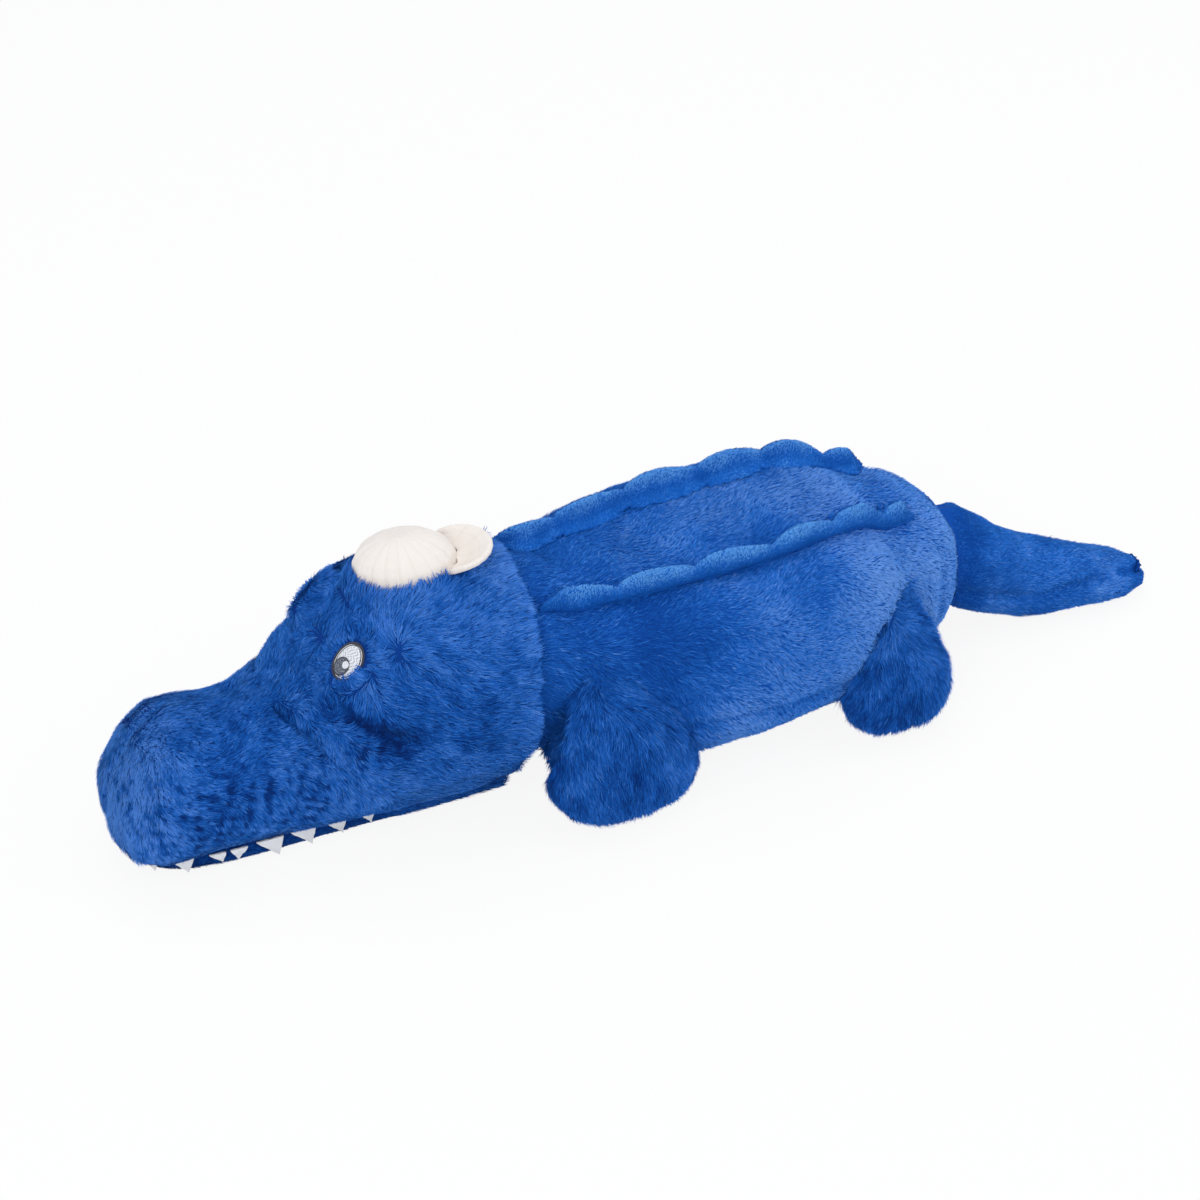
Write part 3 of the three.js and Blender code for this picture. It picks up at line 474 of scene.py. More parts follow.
def grow(name, skin, body, fur, seed, amount, size, flow, shade, keep, stand=None):
    """Pile on a skin. Size is its length, flow the way that it is brushed, shade its tint with the
    painted light and shade, keep where it grows and stand how much more upright it is; each of these
    takes places and normals."""
    sizes, studio = bpy.context.scene.pile_sizes, bpy.context.scene.studio
    facing = np.array(toward_camera(studio))
    root, normal, draw = scatter(skin, int(sizes.tufts * amount), seed, keep, facing)
    count = len(root)
    swirl = [Ripples(seed + k, wavelength) for k, wavelength in enumerate((0.045,) * 3 + (0.012,) * 3)]
    drift = np.stack([swirl[k].at(root) * 0.28 + swirl[k + 3].at(root) * 0.20 for k in range(3)], 1)
    stray = 0.14 * draw.normal(size=(count, 3))
    way = flat_on(flat_on(flow(root, normal), normal) + drift + stray, normal)
    tall = size(root, normal) * (1 + 0.14 * draw.normal(size=count).clip(-2, 2))
    lift = fur.rise * (1 + 0.35 * Ripples(seed + 9, 0.02).at(root)) + 0.09 * draw.normal(size=count)
    if stand is not None:
        lift += stand(root, normal)
    lift = lift.clip(0.08, 0.95)
    centre, off = tuft_centres(root, fur.clump, seed * 0.37)
    inward = centre - root
    inward -= dot(inward, normal)[:, None] * normal
    low = np.sqrt(1 - lift ** 2)
    rising = way * low[:, None] + normal * lift[:, None]
    bend = root + rising * (tall * 0.5)[:, None] + inward * fur.pull * 0.35
    fall = way * (low + 0.25)[:, None] + normal * (lift * 0.55)[:, None]
    tip = bend + unit(fall) * (tall * 0.55)[:, None] + inward * fur.pull * 0.65
    turned = 1.4 - 0.4 * (normal @ facing).clip(0, 1)
    wide = getattr(sizes, fur.width) * draw.uniform(0.7, 1.25, count) * turned
    for end in (bend, tip):
        end[:, 2] = end[:, 2].clip(TIP_HEIGHT, None)
    across = unit(np.cross(way, normal)) * (wide / 2)[:, None]
    faces = unit(normal + 0.35 * unit(np.cross(across, tip - root)))
    # Painted shade: tufts toward the partings between locks are darker
    parting_shade = 0.48 * fur.pull * (off - 0.55)
    tone = (shade(root, normal) + 0.14 * draw.normal(size=count) - parting_shade).clip(0.02, 0.98)
    pile = strand_mesh(name, root - normal * ROOT_DEPTH, bend, tip, across, faces, tone)
    pile.data.materials.append(finish_of(fur.finish))
    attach(pile, body)
    return pile


# Stuffed forms

def alone(obj):
    bpy.ops.object.select_all(action="DESELECT")
    obj.select_set(True)
    bpy.context.view_layer.objects.active = obj


def apply(obj, kind, **settings):
    alone(obj)
    modifier = obj.modifiers.new(kind.title(), kind)
    for name, value in settings.items():
        setattr(modifier, name, value)
    bpy.ops.object.modifier_apply(modifier=modifier.name)


def copied(name, nodes):
    """One new object with the shapes of several CAD nodes, their corners merged."""
    parts = []
    for node in nodes:
        part = bpy.data.objects.new(name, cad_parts[node].data.copy())
        bpy.context.scene.collection.objects.link(part)
        parts.append(part)
    bpy.ops.object.select_all(action="DESELECT")
    for part in parts:
        part.select_set(True)
    bpy.context.view_layer.objects.active = parts[0]
    if len(parts) > 1:
        bpy.ops.object.join()
    obj = bpy.context.view_layer.objects.active
    obj.name = name
    obj.data.materials.clear()
    bpy.ops.object.mode_set(mode="EDIT")
    bpy.ops.mesh.select_all(action="SELECT")
    bpy.ops.mesh.remove_doubles(threshold=1e-6)
    bpy.ops.object.mode_set(mode="OBJECT")
    return obj


def formed(name, nodes, voxel, inset, rounds):
    """A closed form round CAD nodes, smoothed, and set in by the thickness of its pile."""
    obj = copied(name, nodes)
    apply(obj, "REMESH", mode="VOXEL", voxel_size=voxel)
    apply(obj, "SMOOTH", factor=0.5, iterations=rounds)
    alone(obj)
    bpy.ops.object.shade_smooth()
    places, normals, _ = arrays_of(obj)
    set_places(obj, places - normals * inset)
    return obj


def set_places(obj, places):
    obj.data.vertices.foreach_set("co", places.astype(np.float32).ravel())
    obj.data.update()


def surface_of(obj):
    """A tree of a form's faces, which gives the nearest place on it."""
    places, _, corners = arrays_of(obj)
    return BVHTree.FromPolygons(places.tolist(), corners.tolist())


def laid(obj, path):
    """A line through several places, laid down on a form."""
    tree = surface_of(obj)
    ends = np.array([tuple(place) for place in path])
    steps = np.linspace(0, 1, 6)[:, None]
    line = np.concatenate([start + (end - start) * steps for start, end in zip(ends, ends[1:])])
    return np.array([tree.find_nearest(place)[0] for place in line.tolist()])


def near_line(points, line):
    """How far each point is from a line through several places."""
    least = np.full(len(points), np.inf)
    for start, end in zip(line, line[1:]):
        run = end - start
        along = ((points - start) @ run / max(run @ run, 1e-12)).clip(0, 1)
        least = np.minimum(least, np.linalg.norm(points - start - along[:, None] * run, axis=1))
    return least


# A soft fold along a line, or a swelling where its depth is negative, and how much painted shade darkens
# it; a negative value is painted light
Fold = namedtuple("Fold", "line width depth dark")


def press(obj, folds):
    """Folds a form, one fold after the other."""
    for fold in folds:
        places, normals, _ = arrays_of(obj)
        dip = fold.depth * np.exp(-(near_line(places, fold.line) / fold.width) ** 2)
        set_places(obj, places - normals * dip[:, None])


def shadow(points, folds):
    """How much darker the folds make each point."""
    return sum(fold.dark * np.exp(-(near_line(points, fold.line) / fold.width) ** 2)
               for fold in folds)


def soften(obj, rounds, share):
    """Smooths a form where the share, from 0 to 1, of its places says so."""
    places, _, _ = arrays_of(obj)
    group = obj.vertex_groups.new(name="soft")
    for i, weight in enumerate(share(places).tolist()):
        if weight > 0.01:
            group.add([i], weight, "REPLACE")
    apply(obj, "SMOOTH", factor=0.5, iterations=rounds, vertex_group="soft")


def lump(obj, seed, wavelength, depth):
    """Slight unevenness of stuffing under cloth."""
    places, normals, _ = arrays_of(obj)
    set_places(obj, places + normals * (Ripples(seed, wavelength).at(places) * depth)[:, None])


def meet(obj, other, reach, sunk=None, seam=0.0006):
    """Draws a form up to the one that it is sewn to, where it comes within reach of it, and further
    off by a share that sunk gives for each place. No place of it stays inside the other."""
    places, _, _ = arrays_of(obj)
    tree = surface_of(other)
    feet, away, gaps = places.copy(), np.zeros_like(places), np.full(len(places), 1.0)
    for i, place in enumerate(places.tolist()):
        foot, normal, _, gap = tree.find_nearest(place, 0.05)
        if foot is not None:
            feet[i], away[i], gaps[i] = foot, normal, gap
    pull = 1 - smooth(gaps, reach * 0.6, reach)
    if sunk is not None:
        pull = np.maximum(pull, sunk(places))
    kept = (1 - pull) + pull * np.minimum(seam / np.maximum(gaps, 1e-6), 1)
    met = feet + (places - feet) * kept[:, None]
    inside = dot(places - feet, away) < 0
    met[inside] = (feet + away * seam)[inside]
    set_places(obj, met)


def on_head(forward, side, up):
    """A place in the part's frame, from millimetres forward of the neck, to one side, and up."""
    return HEAD_PLACE @ Vector((-forward * MM, side * MM, up * MM))


def head_places(points):
    """Forward, side and up of places in the part's frame, in metres along the head."""
    local = (points - np.array(HEAD_PIVOT)) @ np.array(HEAD_PLACE.to_3x3())
    return -local[:, 0], local[:, 1], local[:, 2]


def on_tail(along, side, up):
    """A place in the part's frame, from millimetres along the tail, to one side, and up."""
    return TAIL_PLACE @ Vector((along * MM, side * MM, up * MM))


def tail_places(points):
    """Along, side and up of places in the part's frame, in metres along the tail."""
    local = (points - np.array(TAIL_PIVOT)) @ np.array(TAIL_PLACE.to_3x3())
    return local[:, 0], local[:, 1], local[:, 2]


def settle(obj, body, slot, finish, fill, *nodes):
    """Gives a form its finish, puts it on its body and hides the CAD nodes that it stands for; fill is
    not used.
    """
    obj.data.materials.append(finish_of(finish))
    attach(obj, body)
    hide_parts(*nodes)


# The torso's folds on one side: a path, its width, its depth and how much painted shade darkens it; a
# negative value is painted light
TORSO_FOLDS = (
    (((-0.133, 0.070, 0.043), (-0.107, 0.088, 0.056), (-0.070, 0.100, 0.058), (-0.022, 0.105, 0.056),
      (0.025, 0.104, 0.052), (0.071, 0.096, 0.044), (0.104, 0.082, 0.034), (0.129, 0.060, 0.020)),
     0.0045, 0.0026, 0.16),  # the belly's seam
    (((0.155, 0.048, 0.112), (0.160, 0.054, 0.085), (0.158, 0.056, 0.05)), 0.007, 0.0030, 0.12),
    (((-0.027, 0.088, 0.108), (-0.020, 0.102, 0.075)), 0.014, 0.0024, 0.08),
    (((0.078, 0.068, 0.122), (0.062, 0.092, 0.095)), 0.012, 0.0016, 0.08),
    (((0.010, 0.088, 0.100), (0.008, 0.100, 0.080)), 0.022, -0.0022, -0.05),
    (((0.172, 0.036, 0.108), (0.184, 0.030, 0.085), (0.186, 0.030, 0.050)),
     0.012, -0.0030, -0.10),  # the swelling beside the tail
)
# The full shoulder outside each ridge, its width and how far it swells on each side
SHOULDER = (
    (-0.145, 0.054, 0.120), (-0.120, 0.062, 0.115), (-0.080, 0.072, 0.120), (-0.020, 0.074, 0.126),
    (0.040, 0.073, 0.126), (0.085, 0.068, 0.118), (0.118, 0.058, 0.106), (0.148, 0.046, 0.098))
SHOULDER_WIDTH = 0.022
SHOULDER_RISE = {"left": 0.0060, "right": 0.0115}
# Patches of painted sheen and painted shade on the short pile, where it lies another way: a middle, a
# spread and how much lighter
TORSO_SHEEN_AND_SHADE = (
    ((-0.069, 0.013, 0.146), 0.030, 0.10), ((-0.041, -0.102, 0.068), 0.026, 0.09),
    ((0.087, -0.074, 0.112), 0.024, 0.10), ((0.048, -0.079, 0.121), 0.017, -0.12),
    ((-0.077, -0.073, 0.120), 0.034, -0.12), ((-0.140, -0.088, 0.080), 0.030, -0.14),
    ((0.180, -0.030, 0.090), 0.034, 0.10),
)


class CROC_OT_torso(bpy.types.Operator):
    """The stuffed torso with its seams and short pile, and the firm wad that the head turns on"""
    bl_idname = "croc.torso"
    bl_label = "Torso"

    def execute(self, context):
        sizes = context.scene.pile_sizes
        nodes = ["back_panel", "belly_panel", "side_panel_left", "side_panel_right", "torso_stuffing"]
        torso = formed("torso_plush", nodes + ["neck_stuffing"], voxel=0.0035, inset=0.0030, rounds=6)

        def rump(places):
            """Where the ends of the ridges are: the cloth is even there."""
            ridge_end = np.exp(-((places[:, 0] - 0.126) / 0.026) ** 2)
            return ridge_end * smooth(np.abs(places[:, 1]), 0.02, 0.05)

        soften(torso, 250, rump)
        folds = []
        for side_name, side in SIDES.items():
            table = (*TORSO_FOLDS, (SHOULDER, SHOULDER_WIDTH, -SHOULDER_RISE[side_name], 0.0))
            for path, width, depth, dark in table:
                line = laid(torso, [(x, side * y, z) for x, y, z in path])
                folds.append(Fold(line, width, depth, dark))
        press(torso, folds)
        lump(torso, 11, 0.07, 0.0010)
        settle(torso, "torso", "short_pile", "short_backing", 0.75, *nodes)
        broad, streak = Ripples(21, 0.09), Ripples(22, 0.028)

        def flow(points, normals):
            return ways(0.75, 0, -0.65 * (1 - normals[:, 2].clip(0, 1)))

        def shade(points, normals):
            # Painted light: darker toward the front and lighter toward the rear, as light falls on the
            # pile; painted sheen and shade in the patches, and painted shade in the folds
            front, rear = smooth(points[:, 0], 0.0, -0.11), smooth(points[:, 0], 0.02, 0.10)
            return (0.55 - 0.18 * front + 0.22 * rear + 0.09 * broad.at(points)
                    + 0.045 * streak.at(points) + blots(points, TORSO_SHEEN_AND_SHADE) - shadow(points, folds))

        def size(points, normals):
            front = smooth(points[:, 0], -0.02, -0.10) * smooth(normals[:, 2], 0.9, 0.6)
            rear = smooth(points[:, 0], 0.155, 0.18)
            return sizes.torso + (sizes.front - sizes.torso) * front - 0.4 * sizes.torso * rear

        def shown(points):
            return (points[:, 0] > -0.172) & (points[:, 2] > 0.003)

        zones = {
            "back": lambda p, n: shown(p) & (np.abs(p[:, 1]) < BACK_HALF),
            "left": lambda p, n: shown(p) & (p[:, 1] <= -BACK_HALF),
            "right": lambda p, n: shown(p) & (p[:, 1] >= BACK_HALF),
        }
        for k, (zone, keep) in enumerate(zones.items()):
            grow(f"torso_pile_{zone}", torso, "torso", SHORT, 31 + k, 1, size, flow, shade, keep)
        wad = formed("neck_wad", ["neck_stuffing"], voxel=0.004, inset=0.0060, rounds=3)
        settle(wad, "neck", "fibre", "fibre_fill", 0.9, "neck_stuffing")
        return {"FINISHED"}


class Eye:
    """The place of one eye: u runs back along the head and v up its oval, in metres."""

    def __init__(self, side_name):
        parts = [arrays_of(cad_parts[f"eye_{part}_{side_name}"])[0]
                 for part in ("outline", "white", "pupil")]
        self.middle = parts[0].mean(0)
        core = np.array(on_head(122, 0, 110))
        self.out = np.linalg.svd(parts[0] - self.middle)[2][2]
        self.out *= np.sign(self.out @ (self.middle - core))
        brow = np.array(HEAD_PLACE.to_3x3() @ Vector((0.45, 0, 1)))
        self.up = unit(brow - brow @ self.out * self.out)
        self.back = np.cross(self.up, self.out)
        self.back *= np.sign(self.back[0])
        u, v, height = self.spots(np.concatenate(parts))
        self.bow = np.linalg.lstsq(self.terms(u, v), height, rcond=None)[0]

    def spots(self, points):
        offset = points - self.middle
        return offset @ self.back, offset @ self.up, offset @ self.out

    def terms(self, u, v):
        return np.stack([np.ones_like(u), u, v, u * u, u * v, v * v], -1)

    def lie(self, u, v, lift):
        """Places at a height above the curve that the eye lies on, which is down among the pile."""
        height = self.terms(u, v) @ self.bow + lift - EYE_SINK
        return (self.middle + u[..., None] * self.back + v[..., None] * self.up
                + height[..., None] * self.out)

    def off(self, points):
        """How far points are from the middle, where 1 is the outline; 9 on the head's other side."""
        u, v, height = self.spots(points)
        share = np.hypot(u / EYE_HALVES[0], v / EYE_HALVES[1])
        return np.where(np.abs(height) < 0.02, share, 9.0)


LIP = ((98, 36, 34), (118, 34, 30), (140, 33, 24), (181, 33, 22), (217, 29, 22), (239, 24, 22),
       (250, 18, 22))
NOSE_SEAM = ((236, 17, 103), (248, 17, 96), (268, 16, 72), (276, 14, 44), (275, 13, 19))
# The head's folds on one side, in millimetres on the head: a path, its width and its depth, and how much
# painted shade darkens it; a negative value is painted light. The deep ones are half as deep on the far
# side, where they would show in the outline.
HEAD_FOLDS = (
    (((168, 22, 112), (162, 39, 107), (155, 50, 102), (148, 60, 93)), 3.6, 6.0, 0.50),
    (((137, 50, 124), (128, 62, 119), (116, 71, 111), (103, 77, 100)), 8.0, 6.0, 0.36),
    (((187, 17, 105), (185, 18, 104)), 6.0, 2.2, 0.14),
    (((104, 70, 136), (86, 74, 128)), 20.0, -3.5, -0.04),
    (((230, 40, 60), (205, 46, 55)), 24.0, -2.5, 0.0),
    (LIP, 11.0, 5.0, 0.06),
)
DEEP_FOLD, FAR_SHARE = 4, 0.5
# Painted shadows on the cheeks, under the cheek's bulge
CHEEK_SHADOWS = ((128, 57, 120), (110, 71, 106), (100, 77, 98))


class CROC_OT_head(bpy.types.Operator):
    """The stuffed head with its folds and long pile, and the chin under it"""
    bl_idname = "croc.head"
    bl_label = "Head"

    def execute(self, context):
        sizes = context.scene.pile_sizes
        nodes = ["head_panel_left", "head_panel_right", "head_stuffing"]
        head = formed("head_plush", nodes, voxel=0.0030, inset=0.0026, rounds=5)
        eyes = {name: Eye(name) for name in SIDES}
        # the seam down the nose, with painted shade along it
        folds = [Fold(laid(head, [on_head(*place) for place in NOSE_SEAM]), 0.0032, 0.0050, 0.50)]
        for side in SIDES.values():
            for path, width, depth, dark in HEAD_FOLDS:
                line = laid(head, [on_head(f, side * s, z) for f, s, z in path])
                share = 1 if side < 0 or depth < DEEP_FOLD else FAR_SHARE
                folds.append(Fold(line, width * MM, depth * MM * share, dark))
            rim = [on_head(66 + 37 * math.cos(turn), side * 27 * math.sin(turn) - 1, 178)
                   for turn in np.linspace(0, math.pi, 9)]
            folds.append(Fold(laid(head, rim), 0.0095, -0.0052, 0.0))
        eye, back = eyes["right"], np.array(toward_camera(context.scene.studio))
        near = unit(back - back @ eye.out * eye.out)
        across = np.cross(near, eye.out)
        brow = [eye.middle + near * 0.0160 + across * step for step in (-0.012, 0, 0.012)]
        folds.append(Fold(laid(head, brow), 0.008, -0.0092, 0.0))
        press(head, folds)
        lump(head, 12, 0.05, 0.0008)
        roofs = [surface_of(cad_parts[node]) for node in ("cap_crown", "cap_brim", "cap_hem")]

        def room(points):
            """How far the brim is above each place: 0 under the crown, 1 where nothing is above."""
            gaps = np.ones(len(points))
            for i in np.flatnonzero(points[:, 2] > 0.13):
                hits = [roof.ray_cast(Vector(points[i]), Vector((0, 0, 1)))[3] for roof in roofs]
                gaps[i] = 0 if hits[0] else min(hit or 1 for hit in hits)
            return gaps

        meet(head, bpy.data.objects["torso_plush"], 0.012)
        settle(head, "head", "long_pile", "long_backing", 0.8, *nodes)
        broad, streak, patch = Ripples(23, 0.07), Ripples(24, 0.017), Ripples(25, 0.008)
        whorls = [np.array(on_head(75, side * 55, 158)) for side in SIDES.values()]
        # painted shadow on each cheek
        cheek_shadows = [(on_head(f, side * s, z), 0.014, -0.20)
                  for side in SIDES.values() for f, s, z in CHEEK_SHADOWS]
        teeth = [arrays_of(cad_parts[f"tooth_{name}_{number}"])[0]
                 for name, number in itertools.product(SIDES, TEETH)]
        sewn = [(tooth.mean(0) + (0, 0, 0.004), 0.0055, 1.0) for tooth in teeth]
        cap = HEAD_PLACE @ CAP_MIDDLE

        def by_cap(points):
            """How far outside the cap's foot a place is, where 1 is at its edge."""
            forward, side, up = head_places(points)
            off = np.hypot((forward + CAP_MIDDLE.x) / CAP_HALVES.x,
                           (side - CAP_MIDDLE.y) / CAP_HALVES.y)
            return np.where(up > 0.14, off, 9.0)

        places, _, _ = arrays_of(head)
        places[:, 2] -= 0.0035 * ((room(places) < 0.006) & (by_cap(places) < 1.2))
        set_places(head, places)

        def flow(points, normals):
            forward, _, up = head_places(points)
            front = (-normals[:, 0]).clip(0, 1)
            level = 1 - np.abs(normals[:, 2])
            fall = -0.75 * level * (forward > 0.11) - 0.25 * level - 0.6 * front * (forward > 0.2)
            way = ways(0.9 - 0.5 * front, -0.55 * smooth(forward, 0.19, 0.24),
                       fall * smooth(up, 0.018, 0.045))
            for whorl in whorls:
                arm = points - whorl
                reach = np.linalg.norm(arm, axis=1)
                share = (0.58 * np.exp(-(reach / 0.046) ** 2) * smooth(reach, 0.0, 0.022))[:, None]
                way = way * (1 - share) + unit(arm) * share
            share = 0.8 * (1 - smooth(by_cap(points), 1.05, 1.35))[:, None]
            way = way * (1 - share) + unit(np.array(cap) - points) * share
            for eye in eyes.values():
                off = eye.off(points)
                u, v, _ = eye.spots(points)
                near = (1 - smooth(off, 1.2, 2.0))[:, None]
                away = (1 - 1.9 * smooth((u - v) / np.hypot(u, v), 0.5, 1.0))[:, None]
                way = way * (1 - near) + unit(points - eye.middle) * away * near
            return way

        def shade(points, normals):
            # Painted light and shade: painted shade where the pile parts on the lower snout and cheeks,
            # in the cheek shadows and in the folds; painted light on the front of the snout and on the
            # top of the head
            forward, side, up = head_places(points)
            parting_shade = (patch.at(points) + 0.05).clip(0, 1)
            lower = (np.exp(-((up - 0.060) / 0.030) ** 2) * smooth(forward, 0.12, 0.15)
                     + np.exp(-((up - 0.100) / 0.026) ** 2 - ((forward - 0.118) / 0.036) ** 2))
            rear = smooth(forward, 0.05, 0.0)
            return (0.54 + 0.08 * broad.at(points) + 0.08 * streak.at(points) + 0.12 * rear
                    - 0.46 * parting_shade * lower + 0.34 * smooth(forward, 0.225, 0.262)
                    + blots(points, cheek_shadows) + 0.10 * smooth(up, 0.165, 0.175) - shadow(points, folds))

        def size(points, normals):
            forward, _, up = head_places(points)
            top = smooth(forward, 0.13, 0.17) * (0.55 + 0.45 * smooth(normals[:, 2], 0.35, 0.8))
            near = sum(1 - smooth(eye.off(points), 1.2, 1.9) for eye in eyes.values())
            hem = (1 - smooth(up, 0.024, 0.052)) * (1 - 0.7 * smooth(forward, 0.25, 0.27))
            back = np.exp(-(forward / 0.045) ** 2) * (1 - smooth(up, 0.035, 0.075))
            fringe = 1 - smooth(by_cap(points), 1.1, 1.35)
            creased = (1 - 1.6 * shadow(points, folds)).clip(0.4, 1)
            return (sizes.head * (1 - 0.35 * top) * (1 - 0.35 * near) * (1 - 0.65 * hem)
                    * (1 - 0.62 * back) * (1 + 0.3 * fringe) * creased
                    * (room(points) / 0.012).clip(0.3, 1)
                    * (1 - 0.55 * blots(points, sewn).clip(0, 1)))

        def shown(points, normals):
            off = np.linalg.norm(points - np.array(HOOD_MIDDLE), axis=1)
            clear = np.minimum(*(eye.off(points) for eye in eyes.values())) > 1.0
            clear &= (room(points) > 0.0045) | (by_cap(points) > 1.4)
            forward, _, up = head_places(points)
            corner = 0.0035 + 0.008 * smooth(forward, 0.142, 0.122)
            mouth = 0.0185 + smooth(forward, 0.095, 0.108) * corner
            return clear & (off > HOOD_REACH) & (up > mouth)

        zones = {
            "snout": lambda f, s: f > SNOUT_START,
            "left": lambda f, s: (f <= SNOUT_START) & (s < 0),
            "right": lambda f, s: (f <= SNOUT_START) & (s >= 0),
        }
        for k, (zone, inside) in enumerate(zones.items()):
            def keep(points, normals, inside=inside):
                forward, side, _ = head_places(points)
                return shown(points, normals) & inside(forward, side)
            grow(f"head_pile_{zone}", head, "head", LONG, 41 + k, 1, size, flow, shade, keep,
                 lambda p, n: 0.5 * (1 - smooth(by_cap(p), 1.05, 1.3)))
        chin = formed("chin_plush", ["chin_panel"], voxel=0.0020, inset=0.0004, rounds=1)
        settle(chin, "head", "short_pile", "long_backing", 0.6, "chin_panel")

        def rear(points, normals):
            return 1 - smooth(head_places(points)[0], 0.085, 0.115)

        # The chin's pile in painted shade under the jaw, lighter toward the rear
        grow("chin_pile", chin, "head", LONG, 47, 0.3,
             lambda p, n: sizes.chin + 0.0032 * rear(p, n), flow,
             lambda p, n: 0.28 + 0.22 * rear(p, n),
             lambda p, n: (n[:, 2] < 0.6) & (p[:, 2] > 0.0015))
        return {"FINISHED"}


# The tail's side crease, which is shallow from its fifth place on, and the notch at its tip
TAIL_CREASE = ((64, 32, 42), (86, 32, 36), (121, 31, 30), (148, 27, 32), (166, 23, 31),
               (184, 18, 29), (198, 13, 25), (206, 9, 22))
TAIL_NOTCH = ((203, -11, 24), (212, 0, 21), (203, 11, 24))


class CROC_OT_tail(bpy.types.Operator):
    """The stuffed tail with its side creases and short pile"""
    bl_idname = "croc.tail"
    bl_label = "Tail"

    def execute(self, context):
        sizes = context.scene.pile_sizes
        nodes = ["tail_top_panel", "tail_underside_panel", "tail_stuffing"]
        tail = formed("tail_plush", nodes, voxel=0.0026, inset=0.0026, rounds=4)
        creases = ((TAIL_CREASE[:5], 0.0048), (TAIL_CREASE[5:], 0.0012))
        # the creases and the notch, with painted shade along them
        folds = [Fold(laid(tail, [on_tail(x, side * y, z) for x, y, z in path]), 0.0034, depth, 0.42)
                 for side in SIDES.values() for path, depth in creases]
        notch = laid(tail, [on_tail(*spot) for spot in TAIL_NOTCH])
        folds.append(Fold(notch, 0.0032, 0.0016, 0.34))
        press(tail, folds)
        lump(tail, 13, 0.045, 0.0008)
        meet(tail, bpy.data.objects["torso_plush"], 0.012)
        settle(tail, "tail", "short_pile", "short_backing", 0.7, *nodes)
        broad, streak = Ripples(26, 0.06), Ripples(27, 0.02)

        def shade(points, normals):
            # Painted shade where the tail meets the rump and in the creases; lighter along the tail
            along, _, _ = tail_places(points)
            root = np.exp(-((along - 0.066) / 0.012) ** 2)
            return (0.42 - 0.10 * root + 0.08 * smooth(along, 0.08, 0.14) + 0.08 * broad.at(points)
                    + 0.06 * streak.at(points) - shadow(points, folds))

        def keep(points, normals):
            spoke = unit(points - np.array((0.133, 0, 0.050)))
            along = tail_places(points)[0]
            return (dot(normals, spoke) > -0.2) & (points[:, 2] > 0.002) & (along > 0.056)

        def size(points, normals):
            creased = (1 - 1.3 * shadow(points, folds)).clip(0.4, 1)
            along = tail_places(points)[0]
            return (sizes.tail * creased * (1 - 0.6 * smooth(along, 0.185, 0.205))
                    * (0.4 + 0.6 * smooth(along, 0.056, 0.076)))

        grow("tail_pile", tail, "tail", SHORT, 51, 0.9, size,
             lambda p, n: ways(1 + 0 * p[:, 0], 0, -0.3), shade, keep)
        return {"FINISHED"}


class CROC_OT_legs(bpy.types.Operator):
    """The four stuffed legs with their long pile"""
    bl_idname = "croc.legs"
    bl_label = "Legs"

    def execute(self, context):
        sizes = context.scene.pile_sizes
        torso = bpy.data.objects["torso_plush"]
        pairs = itertools.product(("front", "hind"), SIDES.items())
        for k, (place, (side_name, side)) in enumerate(pairs):
            front = place == "front"
            nodes = [f"{place}_leg_skin_{side_name}", f"{place}_leg_stuffing_{side_name}"]
            leg = formed(f"{place}_leg_plush_{side_name}", nodes, voxel=0.0028, inset=0.0036, rounds=6)
            top = 0.112 if front else 0.095
            meet(leg, torso, 0.013, lambda p: 0.92 * smooth(p[:, 2], top - 0.050, top - 0.006))
            body = f"{place}_leg_{side_name}"
            settle(leg, body, "long_pile", "long_backing", 0.8, *nodes)
            whorl = (-0.124, side * 0.080, 0.100) if front else (0.097, side * 0.085, 0.090)
            broad, streak = Ripples(61 + k, 0.05), Ripples(71 + k, 0.015)

            def flow(points, normals):
                arm = points - whorl
                return unit(arm) + np.array((0, side * 0.2, -0.5))

            def shade(points, normals):
                # Painted shade on the faces that turn forward and back
                edge = smooth(np.abs(normals[:, 0]), 0.55, 0.95)
                return ((0.44 if front else 0.49) - 0.10 * edge + 0.08 * broad.at(points)
                        + 0.08 * streak.at(points))

            def keep(points, normals):
                return (normals[:, 1] * side > -0.55) & (points[:, 2] > 0.002)

            def size(points, normals):
                return sizes.leg * (1 - 0.3 * smooth(points[:, 2], top - 0.03, top))

            grow(f"{place}_leg_pile_{side_name}", leg, body, LONG, 81 + k, 0.6 if front else 0.45,
                 size, flow, shade, keep)
        return {"FINISHED"}


# The outline of a ridge, from its steep foot outside to its flared foot inside: shares of its width
# outward of its middle, and of its height
RIDGE_OUTLINE = (
    (0.0, 0.0), (0.45, 0.30), (0.40, 0.62), (0.10, 0.88), (-0.35, 1.0), (-0.85, 0.90), (-1.25, 0.62),
    (-1.75, 0.32), (-2.5, 0.12), (-3.2, 0.02))


